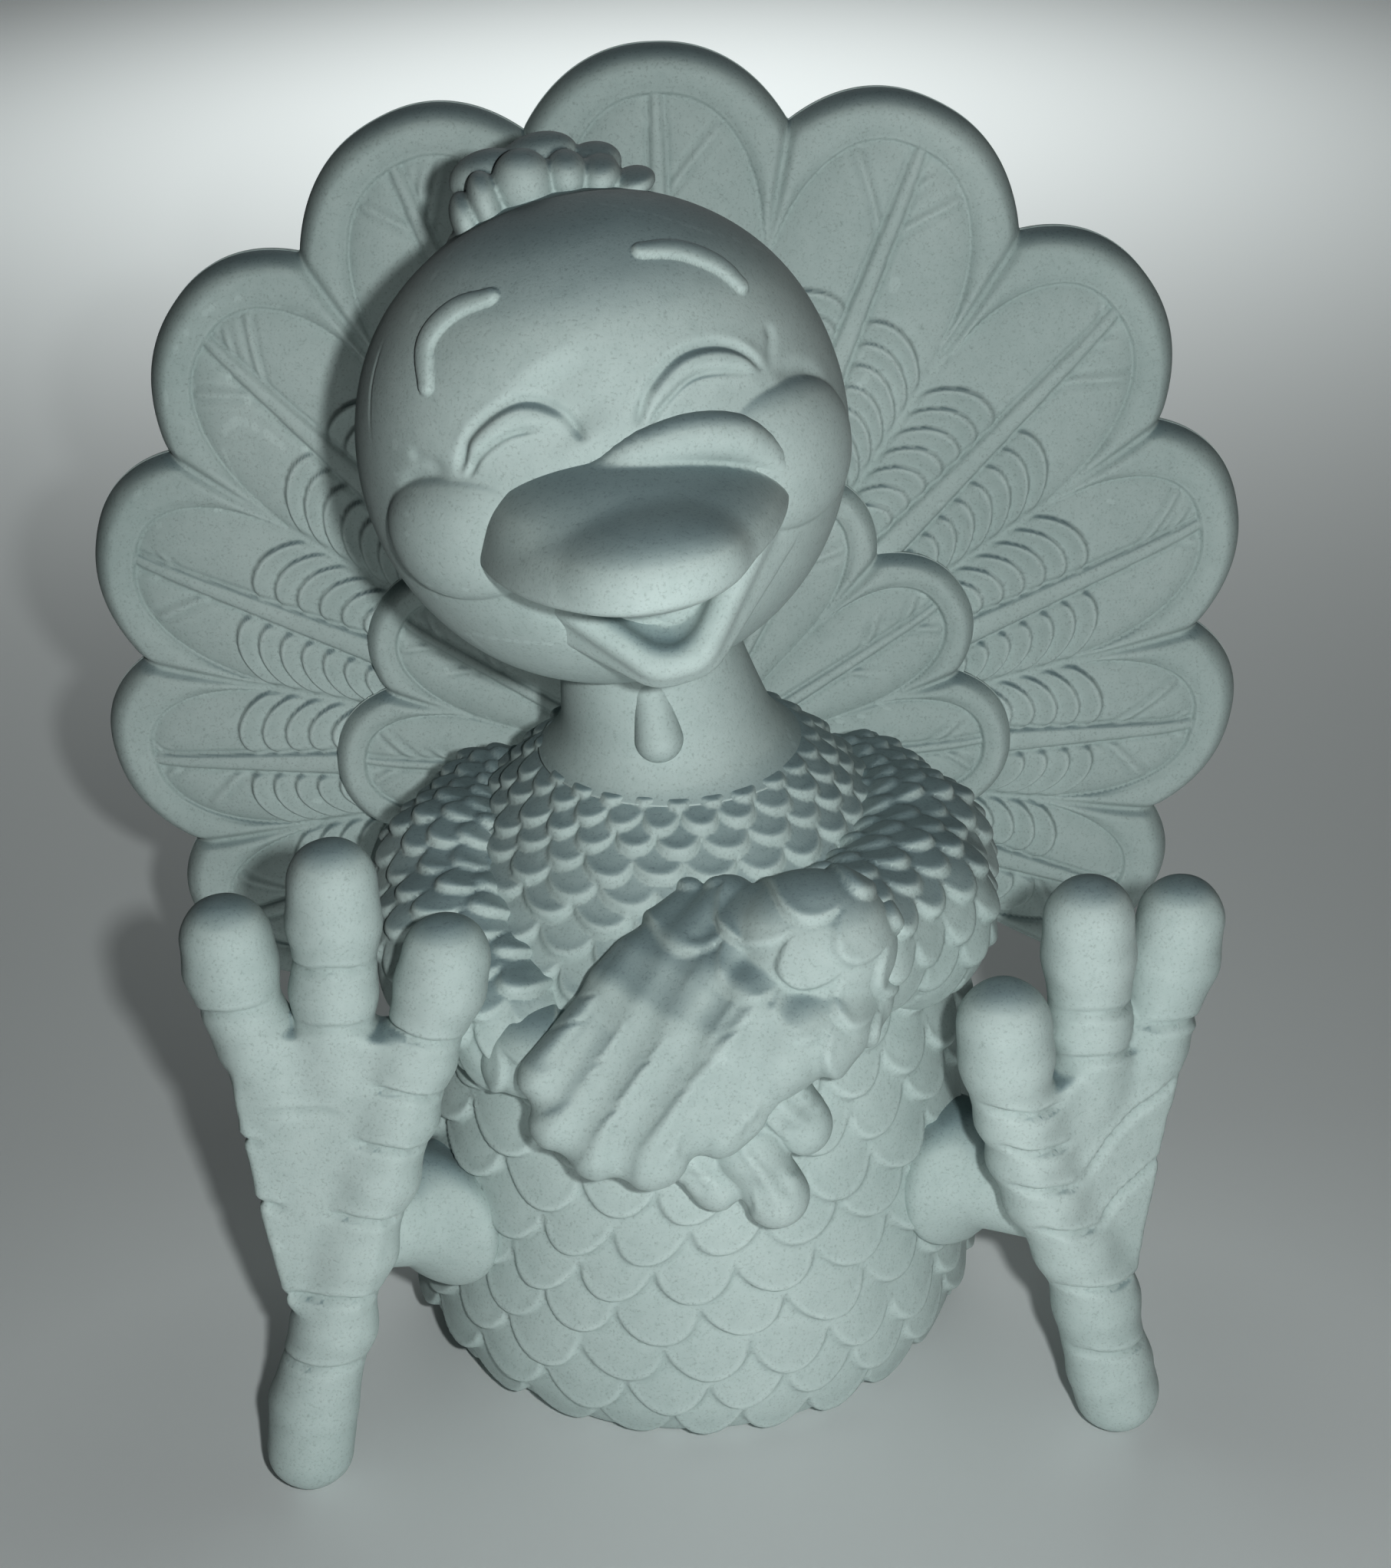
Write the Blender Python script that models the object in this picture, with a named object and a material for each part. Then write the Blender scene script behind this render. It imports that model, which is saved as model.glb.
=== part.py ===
"""Laughing turkey figurine: an unpainted slip-cast bisque body with separately cast and applied pieces.

Figure frame: +X is the viewer's right, the figure faces -Y, +Z is up, and the body's axis is X = Y = 0.
Lengths are in millimetres. Scene units are metres, and ORIGIN_SHIFT centres the finished figure on its origin.
"""
import math

import bmesh
import bpy
from mathutils import Matrix, Vector

MM = 0.001
GAP = 0.35                # clear space between a piece and the piece it is luted to
ORIGIN_SHIFT = Vector((0.0, 2.262, 0.0))

# Body: a hollow casting, open at the base where the slip was poured and at the neck.
BODY_WALL = 4.5
BASE_RADIUS = 33.0
POUR_HOLE_RADIUS = 18.0
BELLY_RADIUS = 40.5
SHOULDER_TOP = 90.0
NECK_HOLE_RADIUS = 10.5
BODY_SEGMENTS = 36

# Neck: a short tapered tube that leans a little towards the head.
NECK_FOOT = Vector((-0.5, 0.0, SHOULDER_TOP + GAP))
NECK_TOP = Vector((-5.0, -3.5, 113.0))
NECK_FOOT_RADIUS = 16.0
NECK_TOP_RADIUS = 10.5
NECK_BORE = 6.0

# Head: a hollow ball, rolled towards the viewer's left.
HEAD_CENTRE = Vector((-8.0, -6.0, 133.5))
HEAD_RADIUS = 30.0
HEAD_WALL = 4.0
HEAD_ROLL = math.radians(13.0)
HEAD_HOLE_RADIUS = 9.2

# Tail: a leaning fan of eleven feathers, with a shorter tier of nine in front of it.
FAN_CENTRE_HEIGHT = 66.0
FAN_RADIUS = 85.0
FAN_RISE = 18.8           # how far the centre of the outline circle stands above the feathers' centre
FAN_LEAN = math.radians(4.0)
FAN_FRONT = 37.4          # Y of the front face at the feathers' centre
FAN_THICKNESS = 7.0
FAN_LOBES = 11
FAN_PITCH = math.radians(21.9)
FAN_NOTCH = 0.085         # depth of the notch between two feathers, as a share of the radius
COVERT_RADIUS = 50.0
COVERT_THICKNESS = 4.2
COVERT_LOBES = 9
COVERT_PITCH = math.radians(28.5)
COVERT_NOTCH = 0.12
POINTS_PER_LOBE = 6

# Wattle: one soft drop down the front of the neck.
WATTLE = [((-2.8, -12.0, 106), 2.3), ((-2.4, -15.0, 96.5), 3.2)]

# Limbs: chains of balls as (point, radius), from the shoulder or hip outwards.
LEFT_ARM = [((-27, 12, 70), 9.5), ((-30.5, -9, 68), 10.5), ((-26, -23, 66), 7.5)]
RIGHT_ARM = [((27, 12, 70), 9.5), ((30, -9, 69), 10.5), ((22, -27, 73), 9.0)]
LEFT_WRIST = ((-20, -32, 62), 6.0)
LEFT_TIPS = [(-8, -40, 52), (2.3, -41, 49), (11, -40.5, 46)]
LEFT_TIP_RADIUS = 4.0
RIGHT_WRIST = ((12, -34, 77), 9.0)
RIGHT_TIPS = [(-15, -44, 69), (-13.5, -47, 62), (-8.5, -48.5, 59), (-2.5, -49, 57.5), (4, -47.5, 61)]
RIGHT_TIP_RADIUS = 4.4
LEFT_LEG = [((-27, -20, 33), 9.5), ((-46, -31, 37), 7.0)]
RIGHT_LEG = [((27, -18, 36), 9.5), ((50, -31, 34), 7.0)]

# Feet: chains of balls as (across, up the sole, radius), from each heel's end.
FOOT_DEPTH = 0.95         # thickness of a toe as a share of its width
LEFT_HEEL = Vector((-52.3, -41.4, 0))
LEFT_TOES = [
    [(-4.4, 80.0, 5.8), (-2.5, 61.0, 5.4)],
    [(8.9, 88.1, 5.8), (8.0, 62.0, 5.4)],
    [(22.2, 77.6, 5.6), (16.5, 57.0, 5.4)],
    [(-1.0, 58.0, 5.4), (5.5, 38.0, 6.5), (15.5, 57.0, 5.4)],
]
LEFT_SOLE = [(7.5, 62.0, 6.6), (7.3, 53.0, 8.6), (5.8, 38.0, 7.6), (4.0, 21.0, 5.8), (0.4, 6.0, 5.9)]
RIGHT_HEEL = Vector((56.7, -36.1, 0))
RIGHT_TOES = [
    [(-18.2, 68.3, 6.2), (-14.5, 48.0, 5.4)],
    [(-6.2, 79.4, 5.9), (-5.4, 58.0, 5.4)],
    [(7.4, 75.6, 5.9), (1.5, 54.0, 5.4)],
    [(-14.0, 48.0, 5.6), (-4.8, 32.0, 6.6), (0.0, 52.0, 5.4)],
]
RIGHT_SOLE = [(-5.6, 58.0, 6.6), (-6.4, 48.0, 8.6), (-5.0, 33.0, 7.4), (-2.0, 17.0, 6.0), (0.2, 6.0, 5.9)]


def clear_scene():
    for item in list(bpy.data.objects):
        bpy.data.objects.remove(item, do_unlink=True)


def bisque(name, shade):
    """Fired, unglazed clay: pale grey with a cool tint, quite matt."""
    material = bpy.data.materials.new(name)
    material.use_nodes = True
    shader = material.node_tree.nodes["Principled BSDF"]
    shader.inputs["Base Color"].default_value = (0.56 * shade, 0.62 * shade, 0.60 * shade, 1.0)
    shader.inputs["Roughness"].default_value = 0.85
    shader.inputs["Metallic"].default_value = 0.0
    return material


def add_object(name, mesh_builder, shade=1.0):
    """Turns a bmesh in figure millimetres into a named object in metres."""
    bmesh.ops.remove_doubles(mesh_builder, verts=mesh_builder.verts, dist=1e-4)
    bmesh.ops.recalc_face_normals(mesh_builder, faces=mesh_builder.faces)
    bmesh.ops.translate(mesh_builder, vec=ORIGIN_SHIFT, verts=mesh_builder.verts)
    bmesh.ops.scale(mesh_builder, vec=(MM, MM, MM), verts=mesh_builder.verts)
    mesh = bpy.data.meshes.new(name)
    mesh_builder.to_mesh(mesh)
    mesh_builder.free()
    mesh.shade_smooth()
    mesh.set_sharp_from_angle(angle=math.radians(40))
    piece = bpy.data.objects.new(name, mesh)
    bpy.context.scene.collection.objects.link(piece)
    piece.data.materials.append(bisque(name + "_clay", shade))
    return piece


def as_cutter(piece):
    piece.hide_render = True
    piece.display_type = "WIRE"
    return piece


def grown_copy(piece, gap=GAP):
    """A cutter of a piece's shape, a gap larger all round."""
    copy = bpy.data.objects.new(piece.name + "_clearance", piece.data)
    bpy.context.scene.collection.objects.link(copy)
    for modifier in piece.modifiers:
        if modifier.type == "REMESH":
            fuse(copy, modifier.voxel_size / MM, decimate=None)
        elif modifier.type == "DECIMATE":
            thin_out(copy, modifier.ratio)
    grow = copy.modifiers.new("grow", "DISPLACE")
    grow.mid_level = 0.0
    grow.strength = gap * MM
    return as_cutter(copy)


def cut_clear(piece, *cutters):
    for cutter in cutters:
        modifier = piece.modifiers.new("clear_of_" + cutter.name, "BOOLEAN")
        modifier.operation = "DIFFERENCE"
        modifier.object = cutter


def thin_out(piece, ratio):
    modifier = piece.modifiers.new("thin_out", "DECIMATE")
    modifier.ratio = ratio


def fuse(piece, voxel, decimate):
    """Fuses overlapping lumps into one skin, then thins the facets."""
    modifier = piece.modifiers.new("fuse", "REMESH")
    modifier.mode = "VOXEL"
    modifier.voxel_size = voxel * MM
    modifier.use_smooth_shade = True
    if decimate:
        thin_out(piece, decimate)


def ring_loop(sections, segments):
    """A skin round the Z direction through (centre, height, radius) sections, the last joined to the first."""
    builder = bmesh.new()
    rings = []
    for centre_x, centre_y, height, radius in sections:
        ring = []
        for step in range(segments):
            turn = 2 * math.pi * step / segments
            place = (centre_x + radius * math.cos(turn), centre_y + radius * math.sin(turn), height)
            ring.append(builder.verts.new(place))
        rings.append(ring)
    for lower, upper in zip(rings, rings[1:] + rings[:1]):
        for step in range(segments):
            after = (step + 1) % segments
            builder.faces.new((lower[step], lower[after], upper[after], upper[step]))
    bmesh.ops.remove_doubles(builder, verts=builder.verts, dist=1e-4)
    slivers = [face for face in builder.faces if face.calc_area() < 1e-6]
    bmesh.ops.delete(builder, geom=slivers, context="FACES")
    loose = [edge for edge in builder.edges if not edge.link_faces]
    bmesh.ops.delete(builder, geom=loose, context="EDGES")
    return builder


def body_radius(height):
    """Half width of the torso: a rounded foot, a barrel belly and sloping shoulders."""
    belly_height = 26.0
    if height < belly_height:
        drop = (belly_height - height) / belly_height
        return BELLY_RADIUS - (BELLY_RADIUS - BASE_RADIUS) * drop ** 5
    rise = (height - belly_height) / (SHOULDER_TOP - belly_height)
    return BELLY_RADIUS - (BELLY_RADIUS - NECK_FOOT_RADIUS - 1.0) * rise ** 3.2


def body_profile(offset=0.0):
    heights = [0, 1.5, 4, 9, 17, 30, 42, 52, 61, 69, 76, 82, 86.5, SHOULDER_TOP]
    return [(0.0, 0.0, height, body_radius(height) + offset) for height in heights]


def make_body():
    outside = body_profile()
    inner_heights = [84.5, 80, 73, 65, 55, 42, 28, 15, 8, BODY_WALL]
    inside = [(0.0, 0.0, height, body_radius(height) - BODY_WALL) for height in inner_heights]
    inside[0] = (0.0, 0.0, inner_heights[0], NECK_HOLE_RADIUS)
    mouth = [(0.0, 0.0, SHOULDER_TOP, NECK_HOLE_RADIUS)]
    pour = [(0.0, 0.0, BODY_WALL, POUR_HOLE_RADIUS), (0.0, 0.0, 0.0, POUR_HOLE_RADIUS)]
    return add_object("body_shell", ring_loop(outside + mouth + inside + pour, BODY_SEGMENTS))


def make_body_cutter():
    grown = body_profile(GAP)
    lower_pole = [(0.0, 0.0, -1.0, 0.0), (0.0, 0.0, -1.0, BASE_RADIUS + GAP)]
    upper_pole = [(0.0, 0.0, SHOULDER_TOP + GAP, NECK_FOOT_RADIUS + 1.3), (0.0, 0.0, SHOULDER_TOP + GAP, 0.0)]
    builder = ring_loop(lower_pole + grown + upper_pole, BODY_SEGMENTS)
    return as_cutter(add_object("body_clearance", builder))


def neck_section(height_share, radius):
    place = NECK_FOOT.lerp(NECK_TOP, height_share)
    return (place.x, place.y, place.z, radius)


def make_neck():
    outside = [(0.0, 0.0, 85.5, NECK_HOLE_RADIUS - GAP), (0.0, 0.0, NECK_FOOT.z, NECK_HOLE_RADIUS - GAP)]
    for share in (0.0, 0.25, 0.5, 0.75, 1.0):
        taper = (1 - share) ** 1.5
        outside.append(neck_section(share, NECK_TOP_RADIUS + (NECK_FOOT_RADIUS - NECK_TOP_RADIUS) * taper))
    inside = [neck_section(1.0, NECK_BORE), neck_section(0.5, NECK_BORE), (0.0, 0.0, 85.5, NECK_BORE)]
    return add_object("neck_tube", ring_loop(outside + inside, 24), 0.97)


def ball_profile(radius, steps, lowest):
    """Sections of a ball round the origin, from the lowest angle up to its top."""
    sections = []
    for step in range(steps + 1):
        angle = lowest + (math.pi / 2 - lowest) * step / steps
        width = 0.0 if step == steps else radius * math.cos(angle)
        sections.append((0.0, 0.0, radius * math.sin(angle), width))
    return sections


def make_head():
    """A hollow ball whose round hole points down the neck."""
    inner_radius = HEAD_RADIUS - HEAD_WALL
    outside = ball_profile(HEAD_RADIUS, 12, -math.acos(HEAD_HOLE_RADIUS / HEAD_RADIUS))
    inside = ball_profile(inner_radius, 10, -math.acos(HEAD_HOLE_RADIUS / inner_radius))
    inside.reverse()
    builder = ring_loop(outside + inside, 32)
    turn = (HEAD_CENTRE - NECK_FOOT).to_track_quat("Z", "Y").to_matrix().to_4x4()
    bmesh.ops.transform(builder, matrix=Matrix.Translation(HEAD_CENTRE) @ turn, verts=builder.verts)
    return add_object("head_shell", builder, 1.03)


def make_ball(name, centre, radii, turn=None, rings=10, segments=16, shade=1.0):
    builder = bmesh.new()
    add_ball(builder, centre, radii, turn, rings, segments)
    return add_object(name, builder, shade)


def add_ball(builder, centre, radii, turn=None, rings=8, segments=12):
    """An ellipsoid as one closed lump of a bmesh."""
    matrix = Matrix.Translation(centre) @ (turn or Matrix.Identity(3)).to_4x4()
    matrix = matrix @ Matrix.Diagonal((*radii, 1.0))
    bmesh.ops.create_uvsphere(builder, u_segments=segments, v_segments=rings, radius=1.0, matrix=matrix)


def add_bone(builder, start, end, start_radius, end_radius, segments=14, cap_steps=3):
    """A tapered capsule as one closed lump of a bmesh: two balls and the cone that touches both."""
    along = end - start
    length = along.length
    tilt = math.asin(max(-0.99, min(0.99, (start_radius - end_radius) / length)))
    sections = []
    for step in range(cap_steps + 1):
        angle = -math.pi / 2 + (math.pi / 2 + tilt) * step / cap_steps
        sections.append((start_radius * math.sin(angle), start_radius * math.cos(angle)))
    for step in range(cap_steps + 1):
        angle = tilt + (math.pi / 2 - tilt) * step / cap_steps
        sections.append((length + end_radius * math.sin(angle), end_radius * math.cos(angle)))
    lump = ring_loop([(0.0, 0.0, height, radius) for height, radius in sections], segments)
    turn = along.to_track_quat("Z", "Y").to_matrix().to_4x4()
    bmesh.ops.transform(lump, matrix=Matrix.Translation(start) @ turn, verts=lump.verts)
    scratch = bpy.data.meshes.new("lump")
    lump.to_mesh(scratch)
    lump.free()
    builder.from_mesh(scratch)
    bpy.data.meshes.remove(scratch)


def lobed_radius(angle, radius, rise, pitch, lobes, notch):
    """Distance from the feathers' centre to the scalloped edge, at an angle from straight up."""
    circle = rise * math.cos(angle) + math.sqrt(radius ** 2 - (rise * math.sin(angle)) ** 2)
    nearest = max(-(lobes // 2), min(lobes // 2, round(angle / pitch)))
    across = 2 * (angle - nearest * pitch) / pitch
    return circle * (1 - notch * min(1.0, abs(across)) ** 2.3)


def fan_matrix():
    """Fan coordinates (across, forward, up) from the feathers' centre to the figure frame."""
    return Matrix.Translation((0.0, FAN_FRONT, FAN_CENTRE_HEIGHT)) @ Matrix.Rotation(-FAN_LEAN, 4, "X")


def make_fan(name, radius, rise, pitch, lobes, notch, front, thickness, shade):
    half = pitch * (lobes / 2)
    steps = lobes * POINTS_PER_LOBE
    edge = []
    for step in range(steps + 1):
        angle = -half + 2 * half * step / steps
        reach = lobed_radius(angle, radius, rise, pitch, lobes, notch)
        edge.append((reach * math.sin(angle), reach * math.cos(angle)))
    builder = bmesh.new()
    low = min(point[1] for point in edge)
    edge.append((edge[-1][0] * 0.45, low - 3.0))
    edge.append((edge[0][0] * 0.45, low - 3.0))
    corners = [builder.verts.new((across, front, up)) for across, up in edge]
    face = builder.faces.new(corners)
    grown = bmesh.ops.extrude_face_region(builder, geom=[face])
    moved = [item for item in grown["geom"] if isinstance(item, bmesh.types.BMVert)]
    bmesh.ops.translate(builder, vec=(0.0, thickness, 0.0), verts=moved)
    bmesh.ops.transform(builder, matrix=fan_matrix(), verts=builder.verts)
    piece = add_object(name, builder, shade)
    round_edge = piece.modifiers.new("round_edge", "BEVEL")
    round_edge.width = 0.3 * thickness * MM
    round_edge.segments = 2
    round_edge.limit_method = "ANGLE"
    round_edge.angle_limit = math.radians(60)
    return piece


def foot_matrix(heel, lean, yaw):
    """Foot coordinates (across, depth, up the sole) from the heel's end to the figure frame."""
    turn = Matrix.Rotation(yaw, 4, "Z") @ Matrix.Rotation(-lean, 4, "X")
    return Matrix.Translation(heel) @ turn


def make_foot(name, heel, lean, yaw, toes, sole):
    """Toes and sole are chains of balls (across, up, radius), fused into one casting."""
    builder = bmesh.new()
    for chain in toes + [sole]:
        for (across_a, up_a, radius_a), (across_b, up_b, radius_b) in zip(chain, chain[1:]):
            start = Vector((across_a, 0.0, up_a))
            end = Vector((across_b, 0.0, up_b))
            add_bone(builder, start, end, radius_a, radius_b)
    bmesh.ops.scale(builder, vec=(1.0, FOOT_DEPTH, 1.0), verts=builder.verts)
    bmesh.ops.transform(builder, matrix=foot_matrix(heel, lean, yaw), verts=builder.verts)
    piece = add_object(name, builder, 1.05)
    fuse(piece, 1.8, 0.13)
    return piece


def make_chain(name, joints, voxel, ratio, shade):
    """A limb: balls of the given (point, radius), with skin stretched between neighbours."""
    builder = bmesh.new()
    for (start, start_radius), (end, end_radius) in zip(joints, joints[1:]):
        add_bone(builder, Vector(start), Vector(end), start_radius, end_radius)
    piece = add_object(name, builder, shade)
    fuse(piece, voxel, ratio)
    return piece


def make_hand(name, wrist, wrist_radius, tips, tip_radius, shade):
    """A mitten of finger feathers that spread from the wrist to their tips."""
    builder = bmesh.new()
    for tip in tips:
        add_bone(builder, Vector(wrist), Vector(tip), wrist_radius, tip_radius)
    piece = add_object(name, builder, shade)
    fuse(piece, 1.7, 0.2)
    return piece


def head_matrix():
    """Head coordinates (across, depth, up) to the figure frame."""
    return Matrix.Translation(HEAD_CENTRE) @ Matrix.Rotation(-HEAD_ROLL, 4, "Y")


def make_bill(name, width, reach, thickness, droop, drop, shade):
    """A pointed bill: an ellipsoid narrowed towards its tip, turned down by the droop angle."""
    builder = bmesh.new()
    add_ball(builder, Vector((0, 0, 0)), (width, reach, thickness), rings=12, segments=22)
    for vert in builder.verts:
        if vert.co.y < 0:
            vert.co.x *= 1 - 0.28 * (vert.co.y / reach) ** 2
    turn = Matrix.Rotation(droop, 4, "X")
    place = Matrix.Translation((0.0, -23.0, drop))
    bmesh.ops.transform(builder, matrix=head_matrix() @ place @ turn, verts=builder.verts)
    return add_object(name, builder, shade)


def make_comb():
    """A crest of small lumps along the crown."""
    builder = bmesh.new()
    for across, depth, size in ((-9, 1, 4.6), (-4.5, -2, 5.2), (1, 0, 6.4), (6, -1, 5.0), (10, 2, 4.2)):
        fall = (across ** 2 + depth ** 2) / (2 * HEAD_RADIUS)
        centre = Vector((across, depth + 3.0, HEAD_RADIUS - 1.2 - fall))
        add_ball(builder, centre, (size * 0.8, size * 1.5, size * 0.85))
    bmesh.ops.transform(builder, matrix=head_matrix(), verts=builder.verts)
    piece = add_object("comb_tuft", builder, 1.0)
    fuse(piece, 1.3, 0.2)
    return piece


def main():
    clear_scene()
    body = make_body()
    body_clearance = make_body_cutter()
    neck = make_neck()
    head = make_head()
    head_clearance = as_cutter(make_ball("head_clearance", HEAD_CENTRE, (HEAD_RADIUS + GAP,) * 3,
                                         rings=20, segments=32))
    cut_clear(neck, head_clearance)

    fan = make_fan("tail_fan", FAN_RADIUS, FAN_RISE, FAN_PITCH, FAN_LOBES, FAN_NOTCH, 0.0, FAN_THICKNESS, 0.9)
    coverts = make_fan("tail_coverts", COVERT_RADIUS, 0.0, COVERT_PITCH, COVERT_LOBES, COVERT_NOTCH,
                       -COVERT_THICKNESS - GAP, COVERT_THICKNESS, 0.95)
    cut_clear(fan, body_clearance)
    cut_clear(coverts, body_clearance)

    foot_left = make_foot("foot_left", LEFT_HEEL, math.radians(6), math.radians(-3), LEFT_TOES, LEFT_SOLE)
    foot_right = make_foot("foot_right", RIGHT_HEEL, math.radians(3), math.radians(25), RIGHT_TOES, RIGHT_SOLE)
    feet_clearance = [grown_copy(foot_left), grown_copy(foot_right)]
    leg_left = make_chain("leg_left", LEFT_LEG, 1.9, 0.25, 1.0)
    leg_right = make_chain("leg_right", RIGHT_LEG, 1.9, 0.25, 1.0)
    cut_clear(leg_left, body_clearance, feet_clearance[0])
    cut_clear(leg_right, body_clearance, feet_clearance[1])

    arm_left = make_chain("arm_left", LEFT_ARM, 1.9, 0.22, 0.98)
    arm_right = make_chain("arm_right", RIGHT_ARM, 1.9, 0.22, 0.98)
    hand_left = make_hand("hand_left", *LEFT_WRIST, LEFT_TIPS, LEFT_TIP_RADIUS, 0.95)
    hand_right = make_hand("hand_right", *RIGHT_WRIST, RIGHT_TIPS, RIGHT_TIP_RADIUS, 1.03)
    arm_clearance = [grown_copy(arm_left), grown_copy(arm_right)]
    hand_left_clearance = grown_copy(hand_left)
    cut_clear(arm_left, body_clearance, *feet_clearance)
    cut_clear(arm_right, body_clearance, *feet_clearance)
    cut_clear(hand_left, body_clearance, arm_clearance[0], arm_clearance[1], *feet_clearance)
    cut_clear(hand_right, body_clearance, arm_clearance[1], hand_left_clearance, arm_clearance[0])

    upper_bill = make_bill("upper_bill", 18.5, 27.0, 6.4, math.radians(0), 0.6, 0.85)
    lower_bill = make_bill("lower_bill", 15.5, 17.0, 4.0, math.radians(30), -14.0, 0.95)
    cut_clear(upper_bill, head_clearance)
    cut_clear(lower_bill, head_clearance, grown_copy(upper_bill))
    comb = make_comb()
    cut_clear(comb, head_clearance)
    wattle = make_chain("wattle_drop", WATTLE, 0.9, 0.3, 1.0)
    cut_clear(wattle, grown_copy(neck), head_clearance)


main()
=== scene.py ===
import math
from functools import partial

import bpy
import numpy as np
from mathutils import Matrix, Vector


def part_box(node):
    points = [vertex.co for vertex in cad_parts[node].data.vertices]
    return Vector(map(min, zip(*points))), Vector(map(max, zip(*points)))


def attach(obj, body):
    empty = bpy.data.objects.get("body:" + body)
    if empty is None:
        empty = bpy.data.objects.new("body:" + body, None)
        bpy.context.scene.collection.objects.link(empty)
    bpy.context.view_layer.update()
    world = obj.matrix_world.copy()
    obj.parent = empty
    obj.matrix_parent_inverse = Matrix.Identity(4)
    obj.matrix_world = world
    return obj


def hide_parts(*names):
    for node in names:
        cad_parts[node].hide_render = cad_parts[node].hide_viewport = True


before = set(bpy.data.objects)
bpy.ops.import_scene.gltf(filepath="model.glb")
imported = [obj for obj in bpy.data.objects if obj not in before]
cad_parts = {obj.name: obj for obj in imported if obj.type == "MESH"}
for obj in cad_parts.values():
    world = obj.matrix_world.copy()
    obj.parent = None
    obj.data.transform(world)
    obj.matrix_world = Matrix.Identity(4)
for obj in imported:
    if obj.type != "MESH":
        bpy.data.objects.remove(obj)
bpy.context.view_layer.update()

# Looks for the bisque turkey figurine.
#
# Every piece is sculpted in figure coordinates: millimetres, +X the viewer's right, the figure faces -Y,
# +Z up, with X = Y = 0 on the body's axis. place() turns them into metres in the frame. Soft clay forms are
# signed distance fields made into skins by surface_net(); the turned forms and the tail are displaced grids.

MM = 0.001
body_low, body_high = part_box("body_shell")
AXIS = np.array([(body_low[0] + body_high[0]) / 2, (body_low[1] + body_high[1]) / 2, body_low[2]])


# ------------ arrays and meshes

def place(points):
    return np.asarray(points) * MM + AXIS


def mesh_piece(name, node, points, faces):
    """A piece from points (n, 3) in figure millimetres and faces (m, 4) or (m, 3)."""
    faces = np.asarray(faces, np.int32)
    points = place(points).astype(np.float32)
    mesh = bpy.data.meshes.new(name)
    mesh.vertices.add(len(points))
    mesh.vertices.foreach_set("co", points.ravel())
    corners = faces.shape[1]
    mesh.loops.add(faces.size)
    mesh.loops.foreach_set("vertex_index", faces.ravel())
    mesh.polygons.add(len(faces))
    mesh.polygons.foreach_set("loop_start", np.arange(0, faces.size, corners, dtype=np.int32))
    mesh.update(calc_edges=True)
    mesh.validate()
    mesh.shade_smooth()
    mesh.materials.append(CLAY)
    piece = bpy.data.objects.new(name, mesh)
    bpy.context.scene.collection.objects.link(piece)
    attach(piece, "root")
    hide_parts(node)


def unit(vector):
    vector = np.asarray(vector, float)
    return vector / np.linalg.norm(vector)


def step(low, high, x):
    t = np.clip((x - low) / (high - low), 0, 1)
    return t * t * (3 - 2 * t)


def bump(x, width):
    """A smooth hill of height 1 at 0 that reaches 0 at +-width."""
    t = np.clip(1 - (x / width) ** 2, 0, 1)
    return t * t


def smooth_min(a, b, soft):
    h = np.clip(0.5 + 0.5 * (b - a) / soft, 0, 1)
    return b + (a - b) * h - soft * h * (1 - h)


def smooth_max(a, b, soft):
    return -smooth_min(-a, -b, soft)


def scatter(*keys):
    """A repeatable value from 0 to 1 for whole-number keys."""
    total = 0.0
    for place_value, key in zip((12.9898, 78.233, 37.719), keys):
        total = total + np.asarray(key, float) * place_value
    return (np.sin(total) * 43758.5453) % 1.0


def wobble(points, size, seed=0.0):
    """Slow hand-made unevenness from -1 to 1."""
    p = np.asarray(points) / size
    x, y, z = p[..., 0] + seed, p[..., 1] - seed, p[..., 2] + 2 * seed
    waves = np.sin(1.7 * x + 2.1 * np.sin(0.9 * y)) + np.sin(2.3 * y + 1.7 * np.sin(1.1 * z))
    return (waves + np.sin(1.9 * z + 1.3 * np.sin(1.3 * x))) / 3


# ------------ signed distance fields

SETTLE_STEPS = 3
PROBE = 0.05


def capsule(p, a, b, ra, rb):
    """Distance to a round-ended limb from a to b, with radius ra at a and rb at b."""
    a, b = np.asarray(a, float), np.asarray(b, float)
    along = b - a
    t = np.clip(((p - a) @ along) / (along @ along), 0, 1)
    return np.linalg.norm(p - a - t[..., None] * along, axis=-1) - (ra + (rb - ra) * t)


def ellipsoid(p, centre, radii):
    q = p - np.asarray(centre, float)
    radii = np.asarray(radii, float)
    k0 = np.linalg.norm(q / radii, axis=-1)
    k1 = np.linalg.norm(q / radii ** 2, axis=-1)
    return k0 * (k0 - 1) / np.maximum(k1, 1e-6)


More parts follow.
